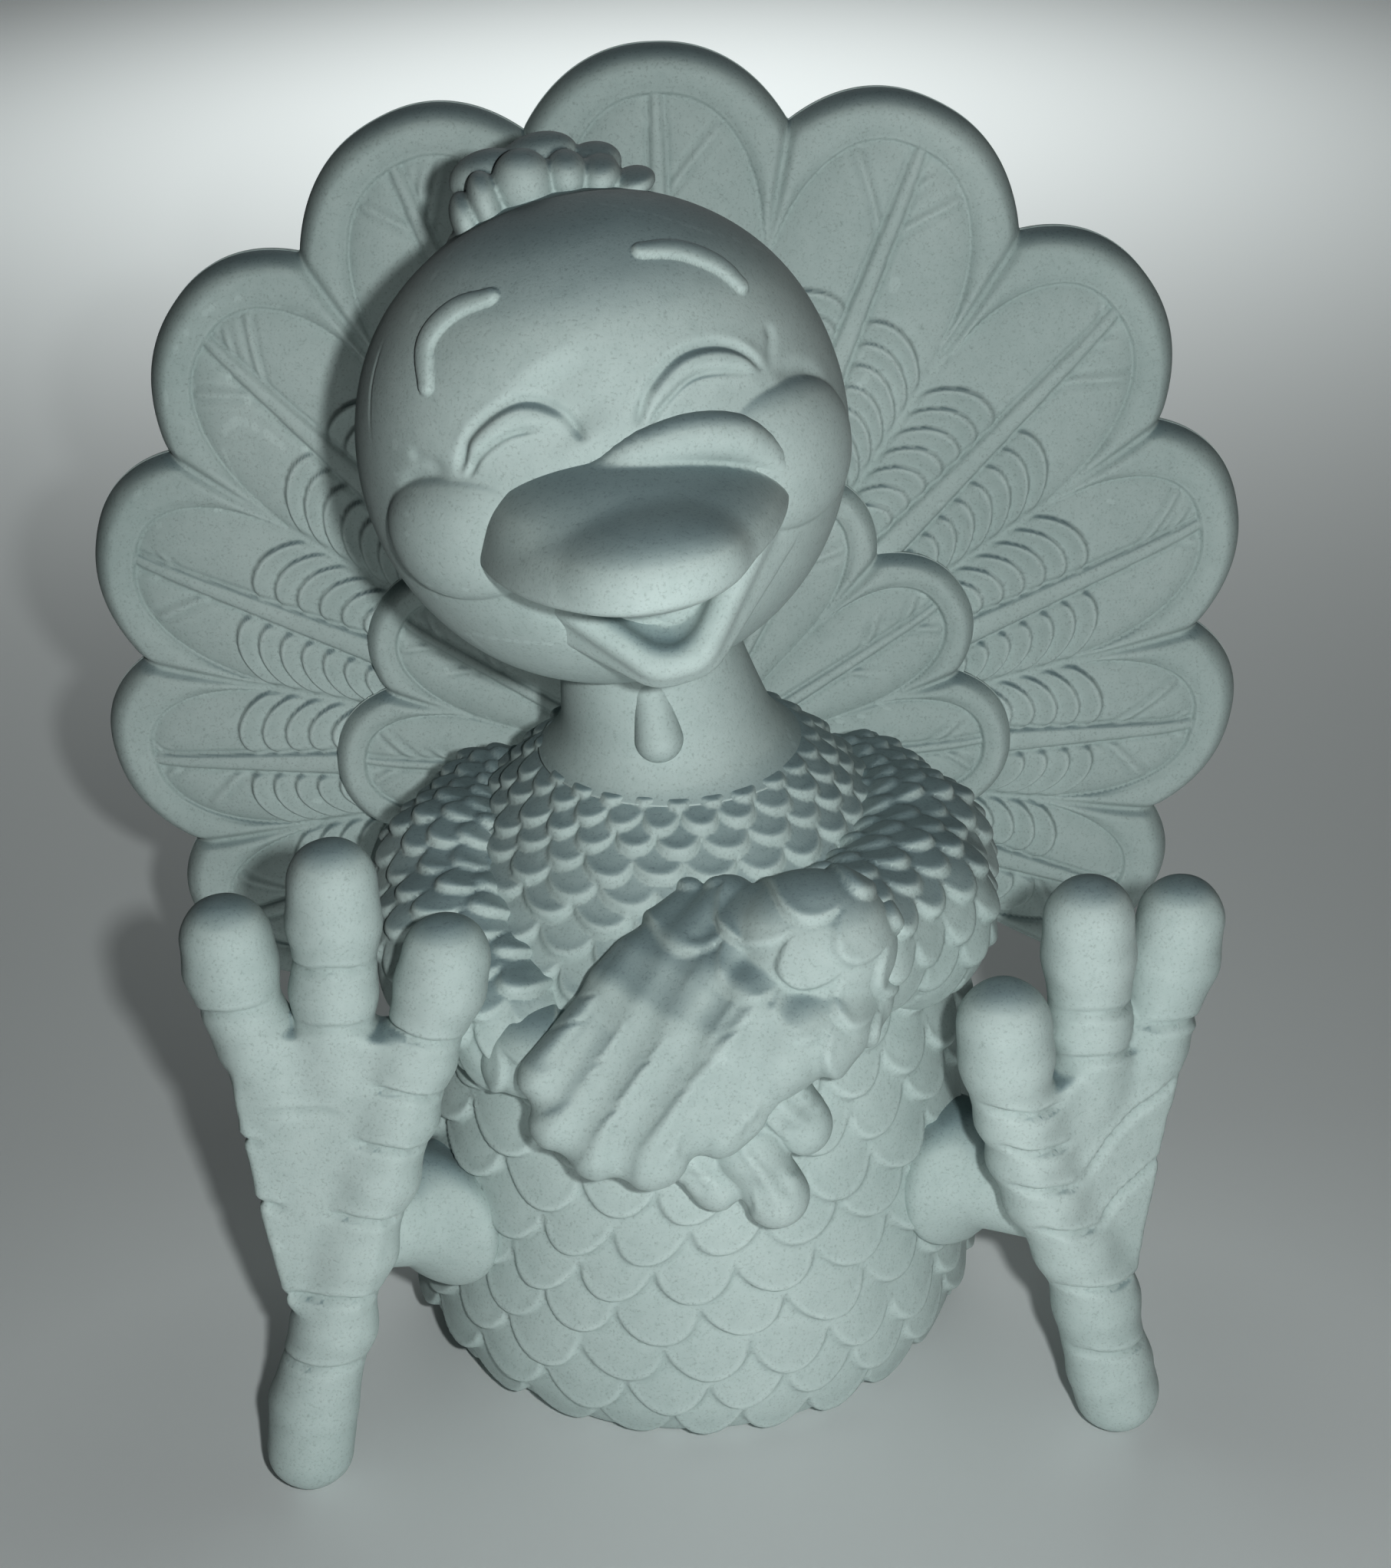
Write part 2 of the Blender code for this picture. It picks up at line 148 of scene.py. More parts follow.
def surface_net(field, low, high, cell):
    """Quads of the zero surface of a field over a box, and its points drawn onto the surface."""
    low, high = np.asarray(low, float), np.asarray(high, float)
    counts = np.ceil((high - low) / cell).astype(int) + 1
    axes = [low[i] + cell * np.arange(counts[i]) for i in range(3)]
    values = np.empty(counts)
    for i in range(counts[0]):
        y, z = np.meshgrid(axes[1], axes[2], indexing="ij")
        values[i] = field(np.stack([np.full_like(y, axes[0][i]), y, z], -1))
    inside = values < 0
    cells = counts - 1
    total = np.zeros((*cells, 3))
    hits = np.zeros(cells)
    corner = [(i, j, k) for i in (0, 1) for j in (0, 1) for k in (0, 1)]
    for a in corner:
        for axis in range(3):
            if a[axis]:
                continue
            b = list(a)
            b[axis] = 1
            sa = tuple(slice(a[i], a[i] + cells[i]) for i in range(3))
            sb = tuple(slice(b[i], b[i] + cells[i]) for i in range(3))
            va, vb = values[sa], values[sb]
            cross = (va < 0) != (vb < 0)
            t = np.where(cross, va / np.where(cross, va - vb, 1), 0)
            for i in range(3):
                total[..., i] += np.where(cross, a[i] + (t if i == axis else 0), 0)
            hits += cross
    live = hits > 0
    index = np.full(cells, -1, np.int64)
    index[live] = np.arange(live.sum())
    at = np.argwhere(live)
    points = low + cell * (at + total[live] / hits[live][:, None])
    quads = []
    for axis in range(3):
        u, v = (axis + 1) % 3, (axis + 2) % 3
        here = [slice(1, counts[i] - 1) for i in range(3)]
        here[axis] = slice(0, counts[axis] - 1)
        there = list(here)
        there[axis] = slice(1, counts[axis])
        a, b = inside[tuple(here)], inside[tuple(there)]
        for flip in (False, True):
            where = np.argwhere(a & ~b if not flip else ~a & b)
            where[:, u] += 1
            where[:, v] += 1
            corners = []
            for du, dv in ((-1, -1), (0, -1), (0, 0), (-1, 0)):
                spot = where.copy()
                spot[:, u] += du
                spot[:, v] += dv
                corners.append(index[spot[:, 0], spot[:, 1], spot[:, 2]])
            quad = np.stack(corners, 1)
            quads.append(quad[:, ::-1] if flip else quad)
    for _ in range(SETTLE_STEPS):
        points = points - slope(field, points) * np.clip(field(points), -cell, cell)[:, None]
    return points, np.concatenate(quads)


def slope(field, points):
    """The field's unit gradient, by central differences."""
    grad = np.empty(points.shape)
    for i in range(3):
        shift = np.zeros(3)
        shift[i] = PROBE
        grad[:, i] = (field(points + shift) - field(points - shift)) / (2 * PROBE)
    return grad / np.maximum(np.linalg.norm(grad, axis=1), 1e-6)[:, None]


def raised(points, field, relief):
    """Points moved along the field's normal by a relief in millimetres."""
    return points + slope(field, points) * relief[:, None]


# ------------ the fired clay

def bisque():
    """Unglazed fired clay: chalky, with faint casting clouds, grains, pinholes and sponge marks, lighter on
    its edges, with painted shade darkening its hollows, and painted shade darkening and bluing it where it
    faces up."""
    material = bpy.data.materials.new("bisque_clay")
    material.use_nodes = True
    nodes, links = material.node_tree.nodes, material.node_tree.links
    shader = nodes["Principled BSDF"]
    place_at = nodes.new("ShaderNodeTexCoord")

    def noise(scale, detail, roughness=0.5):
        node = nodes.new("ShaderNodeTexNoise")
        node.inputs["Scale"].default_value = scale
        node.inputs["Detail"].default_value = detail
        node.inputs["Roughness"].default_value = roughness
        links.new(place_at.outputs["Object"], node.inputs["Vector"])
        return node

    def ramp(source, stops):
        node = nodes.new("ShaderNodeValToRGB")
        links.new(source, node.inputs["Fac"])
        for index, (spot, colour) in enumerate(stops):
            stop = node.color_ramp.elements[index] if index < 2 else node.color_ramp.elements.new(spot)
            stop.position = spot
            stop.color = (*colour, 1.0)
        return node

    def mix(kind, share, first, second):
        node = nodes.new("ShaderNodeMix")
        node.data_type = "RGBA"
        node.blend_type = kind
        node.inputs["Factor"].default_value = share
        links.new(first, node.inputs["A"])
        links.new(second, node.inputs["B"])
        return node.outputs["Result"]

    clouds = noise(38, 4)
    grains = noise(2600, 3, 0.65)
    sponge = noise(520, 5, 0.6)
    base = ramp(clouds.outputs["Fac"], [(0.32, (0.455, 0.525, 0.512)), (0.68, (0.515, 0.582, 0.568))])
    speck = ramp(grains.outputs["Fac"], [(0.30, (0.80, 0.80, 0.80)), (0.46, (1.0, 1.0, 1.0))])
    wipe = ramp(sponge.outputs["Fac"], [(0.25, (0.93, 0.94, 0.94)), (0.60, (1.0, 1.0, 1.0))])
    colour = mix("MULTIPLY", 1.0, base.outputs["Color"], speck.outputs["Color"])
    colour = mix("MULTIPLY", 1.0, colour, wipe.outputs["Color"])
    edges = nodes.new("ShaderNodeNewGeometry")
    # Painted shade: darker in hollows and creases by pointiness; lighter on sharp edges.
    hollow_shade_and_light_edges = ramp(edges.outputs["Pointiness"], [(0.44, (0.86, 0.87, 0.87)), (0.56, (1.04, 1.04, 1.04))])
    colour = mix("MULTIPLY", 1.0, colour, hollow_shade_and_light_edges.outputs["Color"])
    facing = nodes.new("ShaderNodeSeparateXYZ")
    links.new(edges.outputs["Normal"], facing.inputs["Vector"])
    # Painted shade: surfaces facing up are darkened and tinted bluer by their normal, standing in for less
    # light reaching them.
    painted_top_shade = ramp(facing.outputs["Z"], [(0.62, (1.0, 1.0, 1.0)), (0.94, (0.58, 0.63, 0.67))])
    colour = mix("MULTIPLY", 1.0, colour, painted_top_shade.outputs["Color"])
    links.new(colour, shader.inputs["Base Color"])

    rough = nodes.new("ShaderNodeMapRange")
    rough.inputs["To Min"].default_value = 0.62
    rough.inputs["To Max"].default_value = 0.86
    links.new(sponge.outputs["Fac"], rough.inputs["Value"])
    links.new(rough.outputs["Result"], shader.inputs["Roughness"])
    shader.inputs["Specular IOR Level"].default_value = 0.32
    shader.inputs["Sheen Weight"].default_value = 0.05

    pits = nodes.new("ShaderNodeTexVoronoi")
    pits.inputs["Scale"].default_value = 420
    links.new(place_at.outputs["Object"], pits.inputs["Vector"])
    holes = ramp(pits.outputs["Distance"], [(0.03, (0.0, 0.0, 0.0)), (0.09, (1.0, 1.0, 1.0))])
    rare = noise(230, 1)
    keep = ramp(rare.outputs["Fac"], [(0.62, (1.0, 1.0, 1.0)), (0.66, (0.0, 0.0, 0.0))])
    pinholes = mix("LIGHTEN", 1.0, holes.outputs["Color"], keep.outputs["Color"])
    height = mix("ADD", 0.35, grains.outputs["Fac"], sponge.outputs["Fac"])
    height = mix("MULTIPLY", 0.8, height, pinholes)
    relief = nodes.new("ShaderNodeBump")
    relief.inputs["Strength"].default_value = 0.25
    relief.inputs["Distance"].default_value = 0.00012
    links.new(height, relief.inputs["Height"])
    links.new(relief.outputs["Normal"], shader.inputs["Normal"])
    return material


CLAY = bisque()


# ------------ body and plumage

SHOULDER_TOP = 90.0
BELLY_RADIUS, BASE_RADIUS, NECK_FOOT_RADIUS = 40.5, 33.0, 16.0
POUR_HOLE_RADIUS = 18.0
BODY_WALL = 4.5
BORE_RADIUS = 10.5
PROFILE_STEPS = 600
PLUME_CENTRE = np.array([0.0, 0.0, 48.0])


def body_radius(height):
    """Half width of the torso: a rounded foot, a barrel belly and sloping shoulders."""
    height = np.asarray(height, float)
    drop = np.clip((26 - height) / 26, 0, 1)
    rise = np.clip((height - 26) / (SHOULDER_TOP - 26), 0, 1)
    lower = BELLY_RADIUS - (BELLY_RADIUS - BASE_RADIUS) * drop ** 5
    return lower - (BELLY_RADIUS - NECK_FOOT_RADIUS - 1) * rise ** 3.2


def row_pitch(arc):
    """Spacing of the scale rows, which grow from the neck down."""
    return 3.3 + 3.1 * step(8, 52, arc)


def arc_tables():
    """Height, polar angle from the plumage centre, distance down the torso and row number, from the top."""
    height = np.linspace(SHOULDER_TOP, 0.0, PROFILE_STEPS)
    radius = body_radius(height)
    arc = np.concatenate([[0], np.cumsum(np.hypot(np.diff(height), np.diff(radius)))])
    angle = np.arctan2(radius, height - PLUME_CENTRE[2])
    pitch = row_pitch(arc)
    row = np.concatenate([[0], np.cumsum(np.diff(arc) / ((pitch[1:] + pitch[:-1]) / 2))])
    return height, angle, arc, row


PLUME_HEIGHT, PLUME_ANGLE, PLUME_ARC, PLUME_ROW = arc_tables()


def scales(across, row, width, pitch, lift, seed=0.0):
    """Overlapping U-shaped scales. across and row count scales; width, pitch and lift are in millimetres."""
    reach = 1.75
    height = np.zeros(np.shape(row))
    for back in range(3):
        i = np.floor(row) - back
        shift = across + 0.5 * (i % 2) + 0.22 * (scatter(i, 3 + seed) - 0.5)
        j = np.floor(shift)
        u = 2 * (shift - j) - 1
        v = row - i
        long = reach * (0.90 + 0.17 * scatter(i, j, seed))
        lean = 0.24 * (scatter(i, j, 6 + seed) - 0.5)
        edge = long - 0.92 * (1 - np.sqrt(np.clip(1 - (0.985 * np.abs(u)) ** 2.2, 0, 1))) + lean * u
        gap = (edge - v) * pitch / np.sqrt(1 + (0.92 * u * pitch / (0.5 * width)) ** 2)
        lip = np.sqrt(np.clip(1 - (1 - np.clip(gap, 0, 1)) ** 2, 0, 1))
        swell = 0.10 + 0.90 * np.clip(v / long, 0, 1) ** 1.5
        crown = 1 - 0.35 * u ** 2 + 0.16 * np.exp(-((gap - 1.1) / 0.7) ** 2)
        tall = lift * (0.82 + 0.36 * scatter(j, i, 5 + seed))
        here = np.where((gap > 0) & (v >= 0), tall * swell * crown * lip, 0.0)
        height = np.maximum(height, here)
    return height


def plumage(points, around_count=24, small_rows=1.0):
    """Relief of the body feathers, in millimetres, at points on or near the torso."""
    q = points - PLUME_CENTRE
    around = np.arctan2(q[..., 0], -q[..., 1])
    polar = np.arctan2(np.hypot(q[..., 0], q[..., 1]), q[..., 2])
    arc = np.interp(polar, PLUME_ANGLE, PLUME_ARC)
    row = small_rows * np.interp(polar, PLUME_ANGLE, PLUME_ROW)
    pitch = row_pitch(arc) / small_rows
    width = 2 * math.pi * np.hypot(q[..., 0], q[..., 1]) / around_count
    across = (around / (2 * math.pi) + 0.5) * around_count + 0.12 * np.sin(3 * around + row)
    lift = 1.25 + 0.7 * step(8, 46, arc)
    return scales(across, row, width, pitch, lift) * step(-1, 3, arc)


def turned_grid(radius, height, columns):
    turn = 2 * math.pi * np.arange(columns) / columns
    x = radius[:, None] * np.sin(turn)
    y = -radius[:, None] * np.cos(turn)
    z = np.repeat(height[:, None], columns, 1)
    return np.stack([x, y, z], -1)


def grid_faces(rows, columns, offset=0, closed=True, flip=False):
    i, j = np.meshgrid(np.arange(rows - 1), np.arange(columns if closed else columns - 1), indexing="ij")
    here, below = i * columns, (i + 1) * columns
    after = (j + 1) % columns
    quad = np.stack([here + j, here + after, below + after, below + j], -1)
    quad = quad.reshape(-1, 4) + offset
    return quad[:, ::-1] if flip else quad


def ring_faces(rows, columns):
    """Faces of a turned sheet whose last ring joins its first, which makes it a closed tube wall."""
    ring = np.arange(columns)
    after = (ring + 1) % columns
    last = (rows - 1) * columns
    closing = np.stack([last + ring, last + after, after, ring], -1)
    return np.concatenate([grid_faces(rows, columns), closing])


def make_body():
    """The hollow torso: feathered outside, plain inside, open at the base and under the neck."""
    columns = 560
    arcs = np.linspace(0, PLUME_ARC[-1], 215)
    height = np.interp(arcs, PLUME_ARC, PLUME_HEIGHT)
    skin = turned_grid(body_radius(height), height, columns)
    away = np.gradient(skin, axis=0)
    side = np.gradient(np.concatenate([skin[:, -1:], skin, skin[:, :1]], 1), axis=1)[:, 1:-1]
    normal = np.cross(away, side)
    normal /= np.linalg.norm(normal, axis=-1)[..., None]
    heart = [0, 0, 40]
    normal *= np.sign((normal * (skin - heart)).sum(-1))[..., None]
    sink = 0.35 * wobble(skin, 17.0) - 0.5
    fade = step(0.0, 2.5, skin[..., 2])
    skin = skin + normal * ((plumage(skin) * fade) + sink * fade)[..., None]
    inner_height, inner_radius = np.array([
        (0.0, BASE_RADIUS - 0.8), (0.25, POUR_HOLE_RADIUS + 0.5), (BODY_WALL - 0.6, POUR_HOLE_RADIUS),
        (BODY_WALL, POUR_HOLE_RADIUS + 1), (BODY_WALL, 27.0), (10, 34.5), (30, 36.0), (55, 34.0), (72, 26.0),
        (82, 15.0), (85.5, BORE_RADIUS)]).T
    inside = turned_grid(inner_radius, inner_height, columns)
    top = turned_grid(np.array([BORE_RADIUS]), np.array([SHOULDER_TOP]), columns)
    sheets = np.concatenate([top, skin, inside])
    mesh_piece("body", "body_shell", sheets.reshape(-1, 3), ring_faces(len(sheets), columns)[:, ::-1])


# ------------ head

HEAD_CENTRE = np.array([-8.0, -6.0, 133.5])
HEAD_RADIUS, HEAD_WALL = 30.0, 4.0
HEAD_ROLL, HEAD_YAW = math.radians(13.5), math.radians(5.0)
ROLL_COS, ROLL_SIN = math.cos(HEAD_ROLL), math.sin(HEAD_ROLL)
YAW_COS, YAW_SIN = math.cos(HEAD_YAW), math.sin(HEAD_YAW)
HEAD_AXES = np.array([[ROLL_COS * YAW_COS, YAW_SIN, ROLL_SIN * YAW_COS],
                      [ROLL_COS * YAW_SIN, -YAW_COS, ROLL_SIN * YAW_SIN],
                      [-ROLL_SIN, 0, ROLL_COS]])


def head_to_figure(points):
    """Head coordinates (across, forward, up) to the figure frame."""
    return np.asarray(points) @ HEAD_AXES + HEAD_CENTRE


def figure_to_head(points):
    return (np.asarray(points) - HEAD_CENTRE) @ HEAD_AXES.T


def direction(lon, lat):
    """Unit vector in head coordinates; lon runs to the viewer's right of the nose, lat up, in degrees."""
    lon, lat = np.radians(lon), np.radians(lat)
    return np.stack([np.cos(lat) * np.sin(lon), np.cos(lat) * np.cos(lon), np.sin(lat)], -1)


def flowing(points, count=24):
    """Points along a smooth Catmull-Rom curve through the given ones."""
    p = np.asarray(points, float)
    p = np.concatenate([[2 * p[0] - p[1]], p, [2 * p[-1] - p[-2]]])
    t = np.linspace(0, len(p) - 3 - 1e-9, count)
    i = t.astype(int)
    f = (t - i)[:, None]
    a, b, c, d = p[i], p[i + 1], p[i + 2], p[i + 3]
    bend = 2 * b + (c - a) * f + (2 * a - 5 * b + 4 * c - d) * f ** 2
    return 0.5 * (bend + (3 * b - a - 3 * c + d) * f ** 3)


def along_curve(points, curve, reach):
    """Distance to a polyline, and the share of its length at the nearest point; far points get the reach."""
    distance = np.full(len(points), float(reach))
    share = np.zeros(len(points))
    near = np.nonzero((points > curve.min(0) - reach).all(1) & (points < curve.max(0) + reach).all(1))[0]
    p = points[near]
    best, where = distance[near], share[near]
    for i in range(len(curve) - 1):
        a, ab = curve[i], curve[i + 1] - curve[i]
        t = np.clip(((p - a) @ ab) / (ab @ ab), 0, 1)
        d = np.linalg.norm(p - a - t[:, None] * ab, axis=1)
        closer = d < best
        best = np.where(closer, d, best)
        where = np.where(closer, (i + t) / (len(curve) - 1), where)
    distance[near], share[near] = best, where
    return distance, share


def face_line(points, marks, reach=6.0):
    """Distance to a curve drawn on the head through (lon, lat) marks, and the share of its length."""
    curve = flowing(HEAD_RADIUS * direction(*np.array(marks, float).T), 28)
    return along_curve(points, curve, reach)


def groove(points, marks, depth, width, fade):
    """A soft cut along marks that fades out at both ends."""
    distance, share = face_line(points, marks, 4 * width)
    ends = step(0, fade, share) * step(0, fade, 1 - share)
    return -depth * np.exp(-(distance / width) ** 2) * ends


def bar(points, marks, height, half_width):
    """A raised brow: round ended, steep sided and softly crowned."""
    distance, share = face_line(points, marks)
    half = half_width * (0.72 + 0.28 * np.sin(math.pi * np.clip(share, 0.03, 0.97)))
    return height * np.sqrt(np.clip(1 - (distance / half) ** 2, 0, 1)) ** 0.8


def cheek(lon, lat, centre, width, tall, height, tilt):
    """A laughing cheek: a low dome with a crisp edge."""
    across = (lon - centre[0]) * math.cos(math.radians(centre[1])) * math.radians(HEAD_RADIUS)
    up = (lat - centre[1]) * math.radians(HEAD_RADIUS)
    turn = math.radians(tilt)
    u = across * math.cos(turn) + up * math.sin(turn)
    v = up * math.cos(turn) - across * math.sin(turn)
    share = (np.abs(u) / width) ** 2.2 + (np.abs(v) / tall) ** 2.2
    return height * (np.sqrt(np.clip(1.12 - share, 0, 2)) - 0.346) / 0.712


def face_relief(lon, lat):
    """Crown, brows, closed laughing eyes, cheeks and the hollow behind the beak, in millimetres."""
    points = HEAD_RADIUS * direction(lon, lat)
    crown = step(5, 50, lat) * step(0, 40, 100 - lat) * step(-0.4, 0.8, np.cos(np.radians(lon)))
    relief = 2.3 * crown
    relief += bar(points, [(-42, 36), (-44, 45), (-36, 51.5), (-23, 53.5)], 0.75, 1.4)
    relief += bar(points, [(32, 53), (43, 49), (50, 42), (51.5, 36)], 0.75, 1.4)
    for outer, inner in (([(-35, 17), (-29, 26), (-16, 31), (-7, 27), (-3, 19)],
                          [(-33, 16), (-28, 21), (-20, 24.5), (-11, 24.5)]),
                         ([(8, 19), (14, 26), (25, 30), (37, 27), (44, 18)],
                          [(10, 18), (17, 22.5), (27, 24.5), (43, 18)])):
        relief += groove(points, outer, 0.75, 0.62, 0.12)
        relief += groove(points, inner, 0.55, 0.42, 0.2)
        upper, lower = np.array(outer, float)[1:4], np.array(inner, float)[[1, 2, 3]]
        lid = flowing(HEAD_RADIUS * direction(*((upper + lower) / 2).T), 16)
        distance, _ = along_curve(points, lid, 6.0)
        relief += 0.7 * np.exp(-(distance / 1.7) ** 2)
    for marks, depth, width in (([(-36, 16.5), (-46, 17), (-56, 13)], 0.5, 1.0),
                                ([(-36, 18), (-44, 21), (-50, 22)], 0.35, 0.8),
                                ([(44, 17), (55, 14), (66, 7)], 0.5, 1.0),
                                ([(44, 18.5), (50, 23), (52, 27)], 0.35, 0.8),
                                ([(-10, 38), (-6, 29), (-3, 19)], 1.15, 4.2),
                                ([(-66, 20), (-69, 34), (-68, 46)], 0.16, 0.3)):
        relief += groove(points, marks, depth, width, 0.35)
    left = cheek(lon, lat, (-41, 2.0), 12.0, 7.8, 2.6, 6)
    right = cheek(lon, lat, (46, -2.5), 13.0, 8.8, 2.7, -16)
    relief = smooth_max(relief, np.maximum(left, right), 0.35)
    relief -= 4.0 * bump(lon - 3, 32) * bump(lat + 14, 19)
    return relief + 0.10 * wobble(points, 9.0)


def make_head():
    """The hollow head: a ball with the face's relief, a plain inside and an opening over the neck."""
    columns = 620
    lat = np.concatenate([np.linspace(89.6, 62, 70), np.linspace(61.8, -40, 300),
                          np.linspace(-40.6, -72, 50)])
    lon = 360 * np.arange(columns) / columns - 180
    lon_grid, lat_grid = np.meshgrid(lon, lat)
    relief = face_relief(lon_grid.ravel(), lat_grid.ravel())
    outside = (HEAD_RADIUS + relief)[:, None] * direction(lon_grid.ravel(), lat_grid.ravel())
    inner_lat = np.linspace(-69, 89.6, 40)
    lon_in, lat_in = np.meshgrid(lon, inner_lat)
    inside = (HEAD_RADIUS - HEAD_WALL) * direction(lon_in.ravel(), lat_in.ravel())
    rows = len(lat) + len(inner_lat)
    poles = HEAD_RADIUS * np.array([[0, 0, 1.0], [0, 0, 1 - HEAD_WALL / HEAD_RADIUS]])
    poles[0, 2] += relief[:columns].mean()
    points = np.concatenate([outside, inside, poles])
    ring = np.arange(columns)
    after = (ring + 1) % columns
    top = np.full(columns, rows * columns)
    last = (rows - 1) * columns
    caps = np.concatenate([np.stack([top, after, ring, ring], -1),
                           np.stack([top + 1, last + ring, last + after, last + after], -1)])
    faces = np.concatenate([grid_faces(rows, columns)[:, ::-1], caps])
    mesh_piece("head", "head_shell", head_to_figure(points), faces)


BEAK_FOLD = [((-3.5, 28.8, 6.6), 0.5), ((-0.5, 29.3, 8.0), 1.4), ((4.0, 29.2, 9.0), 2.3),
             ((9.3, 28.2, 8.9), 2.8), ((13.8, 26.6, 7.2), 2.9), ((16.8, 24.8, 3.4), 2.3),
             ((17.6, 24.0, -1.0), 1.3)]
FOLD_STEPS = 22
COMB_LUMPS = [(-8.4, -7.0, 0.7, 1.9, 3.0), (-5.6, -6.4, 1.2, 2.1, 3.6), (-0.6, -6.6, 1.6, 3.7, 3.9),
              (4.6, -7.6, 1.5, 2.6, 2.7), (8.4, -8.0, 1.1, 2.6, 2.2), (12.0, -7.6, 0.5, 2.8, 1.5),
              (-4.6, -13.0, 4.4, 4.8, 3.2), (1.8, -13.5, 4.6, 5.0, 3.0), (7.8, -13.0, 3.0, 3.8, 2.6)]


def bill_field(p):
    """Upper beak, domed at the root and full at the tip, with a fold of skin over its root."""
    q = figure_to_head(p)
    q = np.stack([q[..., 0] - 0.7, q[..., 1], q[..., 2] + 0.9 + 0.085 * q[..., 0]], -1)
    forward, up = q[..., 1], q[..., 2]
    taper = 1 + 0.17 * np.clip((forward - 22) / 28, 0, 1.2) ** 2
    centred = np.stack([q[..., 0] * taper, forward - 21.0, up + 1.9], -1)
    top = ellipsoid(centred, (0, 0, 0), (18.4, 28.0, 9.8))
    lower = ellipsoid(centred - np.array([0, 0, 1.0]), (0, 0, 0), (19.0, 29.0, 3.4))
    shape = smooth_max(top, np.where(up < -0.9, lower, -5.0), 0.8)
    dome = ellipsoid(q, (-2.4, 27.0, 2.3), (12.8, 11.0, 6.4))
    nose = ellipsoid(q, (1.6, 41.5, 0.4), (9.2, 7.0, 4.6))
    shape = smooth_min(smooth_min(shape, dome, 2.5), nose, 2.5)
    fold = np.full(up.shape, 20.0)
    centres = flowing([mark for mark, _ in BEAK_FOLD], FOLD_STEPS)
    sizes = np.interp(np.linspace(0, 1, FOLD_STEPS), np.linspace(0, 1, len(BEAK_FOLD)),
                      [size for _, size in BEAK_FOLD])
    for a, b, ra, rb in zip(centres, centres[1:], sizes, sizes[1:]):
        fold = np.minimum(fold, capsule(q, a, b, ra, rb))
    return smooth_min(shape, fold, 0.9)


def jaw_field(p):
    """Lower beak: an open V-shaped scoop with a soft lip, and the tongue in it."""
    q = figure_to_head(p)
    x, forward, up = q[..., 0], q[..., 1] - 24, q[..., 2] + 6
    t = 0.527 * forward - 0.85 * up
    n = 0.85 * forward + 0.527 * up
    x = x - 1.8 + 0.03 * t
    side = 0.80 * (np.abs(x) - 15.3 + 0.85 * t)
    inside = smooth_max(side, t - 14.4, 2.0)
    edge = -inside
    sag = 3.0 * step(0.3, 6.0, edge)
    tongue = 2.4 * np.clip(1 - ((x - 0.8) / 5.2) ** 2 - ((t - 2.6) / 5.8) ** 2, 0, 1) ** 0.7
    skirt = 0.6 * (n + 0.4)
    plate = smooth_max(inside + skirt, n + 0.1 + sag - tongue, 1.0)
    plate = smooth_max(plate, -n - 3.6 - 0.25 * (16 - t), 2.0)
    rim = np.hypot(0.8 * (inside + 1.3), n + 1.0) - 1.35
    return smooth_min(plate, smooth_max(rim, -t - 1, 1.0), 1.2)


def comb_field(p):
    """Crest: soft lumps that overlap along the crown, one large, with a second row behind."""
    q = figure_to_head(p)
    field = np.full(q.shape[:-1], 30.0)
    for x, forward, lift, wide, tall in COMB_LUMPS:
        up = math.sqrt(30.4 ** 2 - x ** 2 - forward ** 2) + lift
        lump = ellipsoid(q, (x, forward, up), (wide, 4.6, tall))
        field = smooth_min(field, lump, 0.35)
    base = ellipsoid(q, (-0.5, -8, 25.2), (11.5, 8.0, 4.4))
    return smooth_min(field, base, 1.0)


def wattle_field(p):
    """A drop of skin down the front of the neck."""
    marks = [((-3.9, -9.6, 108), 2.1), ((-3.3, -12.2, 102), 2.2), ((-2.5, -14.1, 96.2), 3.1)]
    field = np.full(p.shape[:-1], 20.0)
    for (a, ra), (b, rb) in zip(marks, marks[1:]):
        field = smooth_min(field, capsule(p, a, b, ra, rb), 0.6)
    return field


def make_form(name, node, field, low, high, cell, relief=None):
    """A sculpted piece: the skin of a field, with an optional relief in millimetres added to it."""
    points, faces = surface_net(field, low, high, cell)
    if relief is not None:
        points = raised(points, field, relief(points))
    mesh_piece(name, node, points, faces)


def make_neck():
    """A smooth tapered tube that flares into the shoulders under the first feathers and leans to the head."""
    columns = 360
    foot, top = np.array([-0.3, 0.0, 88.5]), np.array([-5.0, -3.5, 113.0])
    share = np.linspace(0, 1, 150)[:, None, None]
    turn = 2 * math.pi * np.arange(columns) / columns
    radius = 10.8 + 4.4 * (1 - share) ** 1.5 + 3.0 * np.clip(1 - share / 0.25, 0, 1) ** 2
    ring = np.stack([np.sin(turn), -np.cos(turn), np.zeros(columns)], -1)[None]
    middle = foot + (top - foot) * share
    skin = middle + radius * ring
    skin = skin + 0.12 * wobble(skin, 8.0)[..., None] * ring
    bore = middle[::-1][::10] + 6.0 * ring
    sheets = np.concatenate([skin, bore])
    mesh_piece("neck", "neck_tube", sheets.reshape(-1, 3), ring_faces(len(sheets), columns))


# ------------ tail

FAN_CENTRE = np.array([0.0, 37.4, 66.0])
FAN_LEAN = math.radians(4.0)
FAN_RADIUS, FAN_RISE, FAN_LOBES, FAN_NOTCH = 85.0, 18.8, 11, 0.085
FAN_PITCH = math.radians(21.9)
COVERT_RADIUS, COVERT_LOBES, COVERT_NOTCH = 50.0, 9, 0.12
COVERT_PITCH = math.radians(28.5)
FIRST_REACH = 0.6


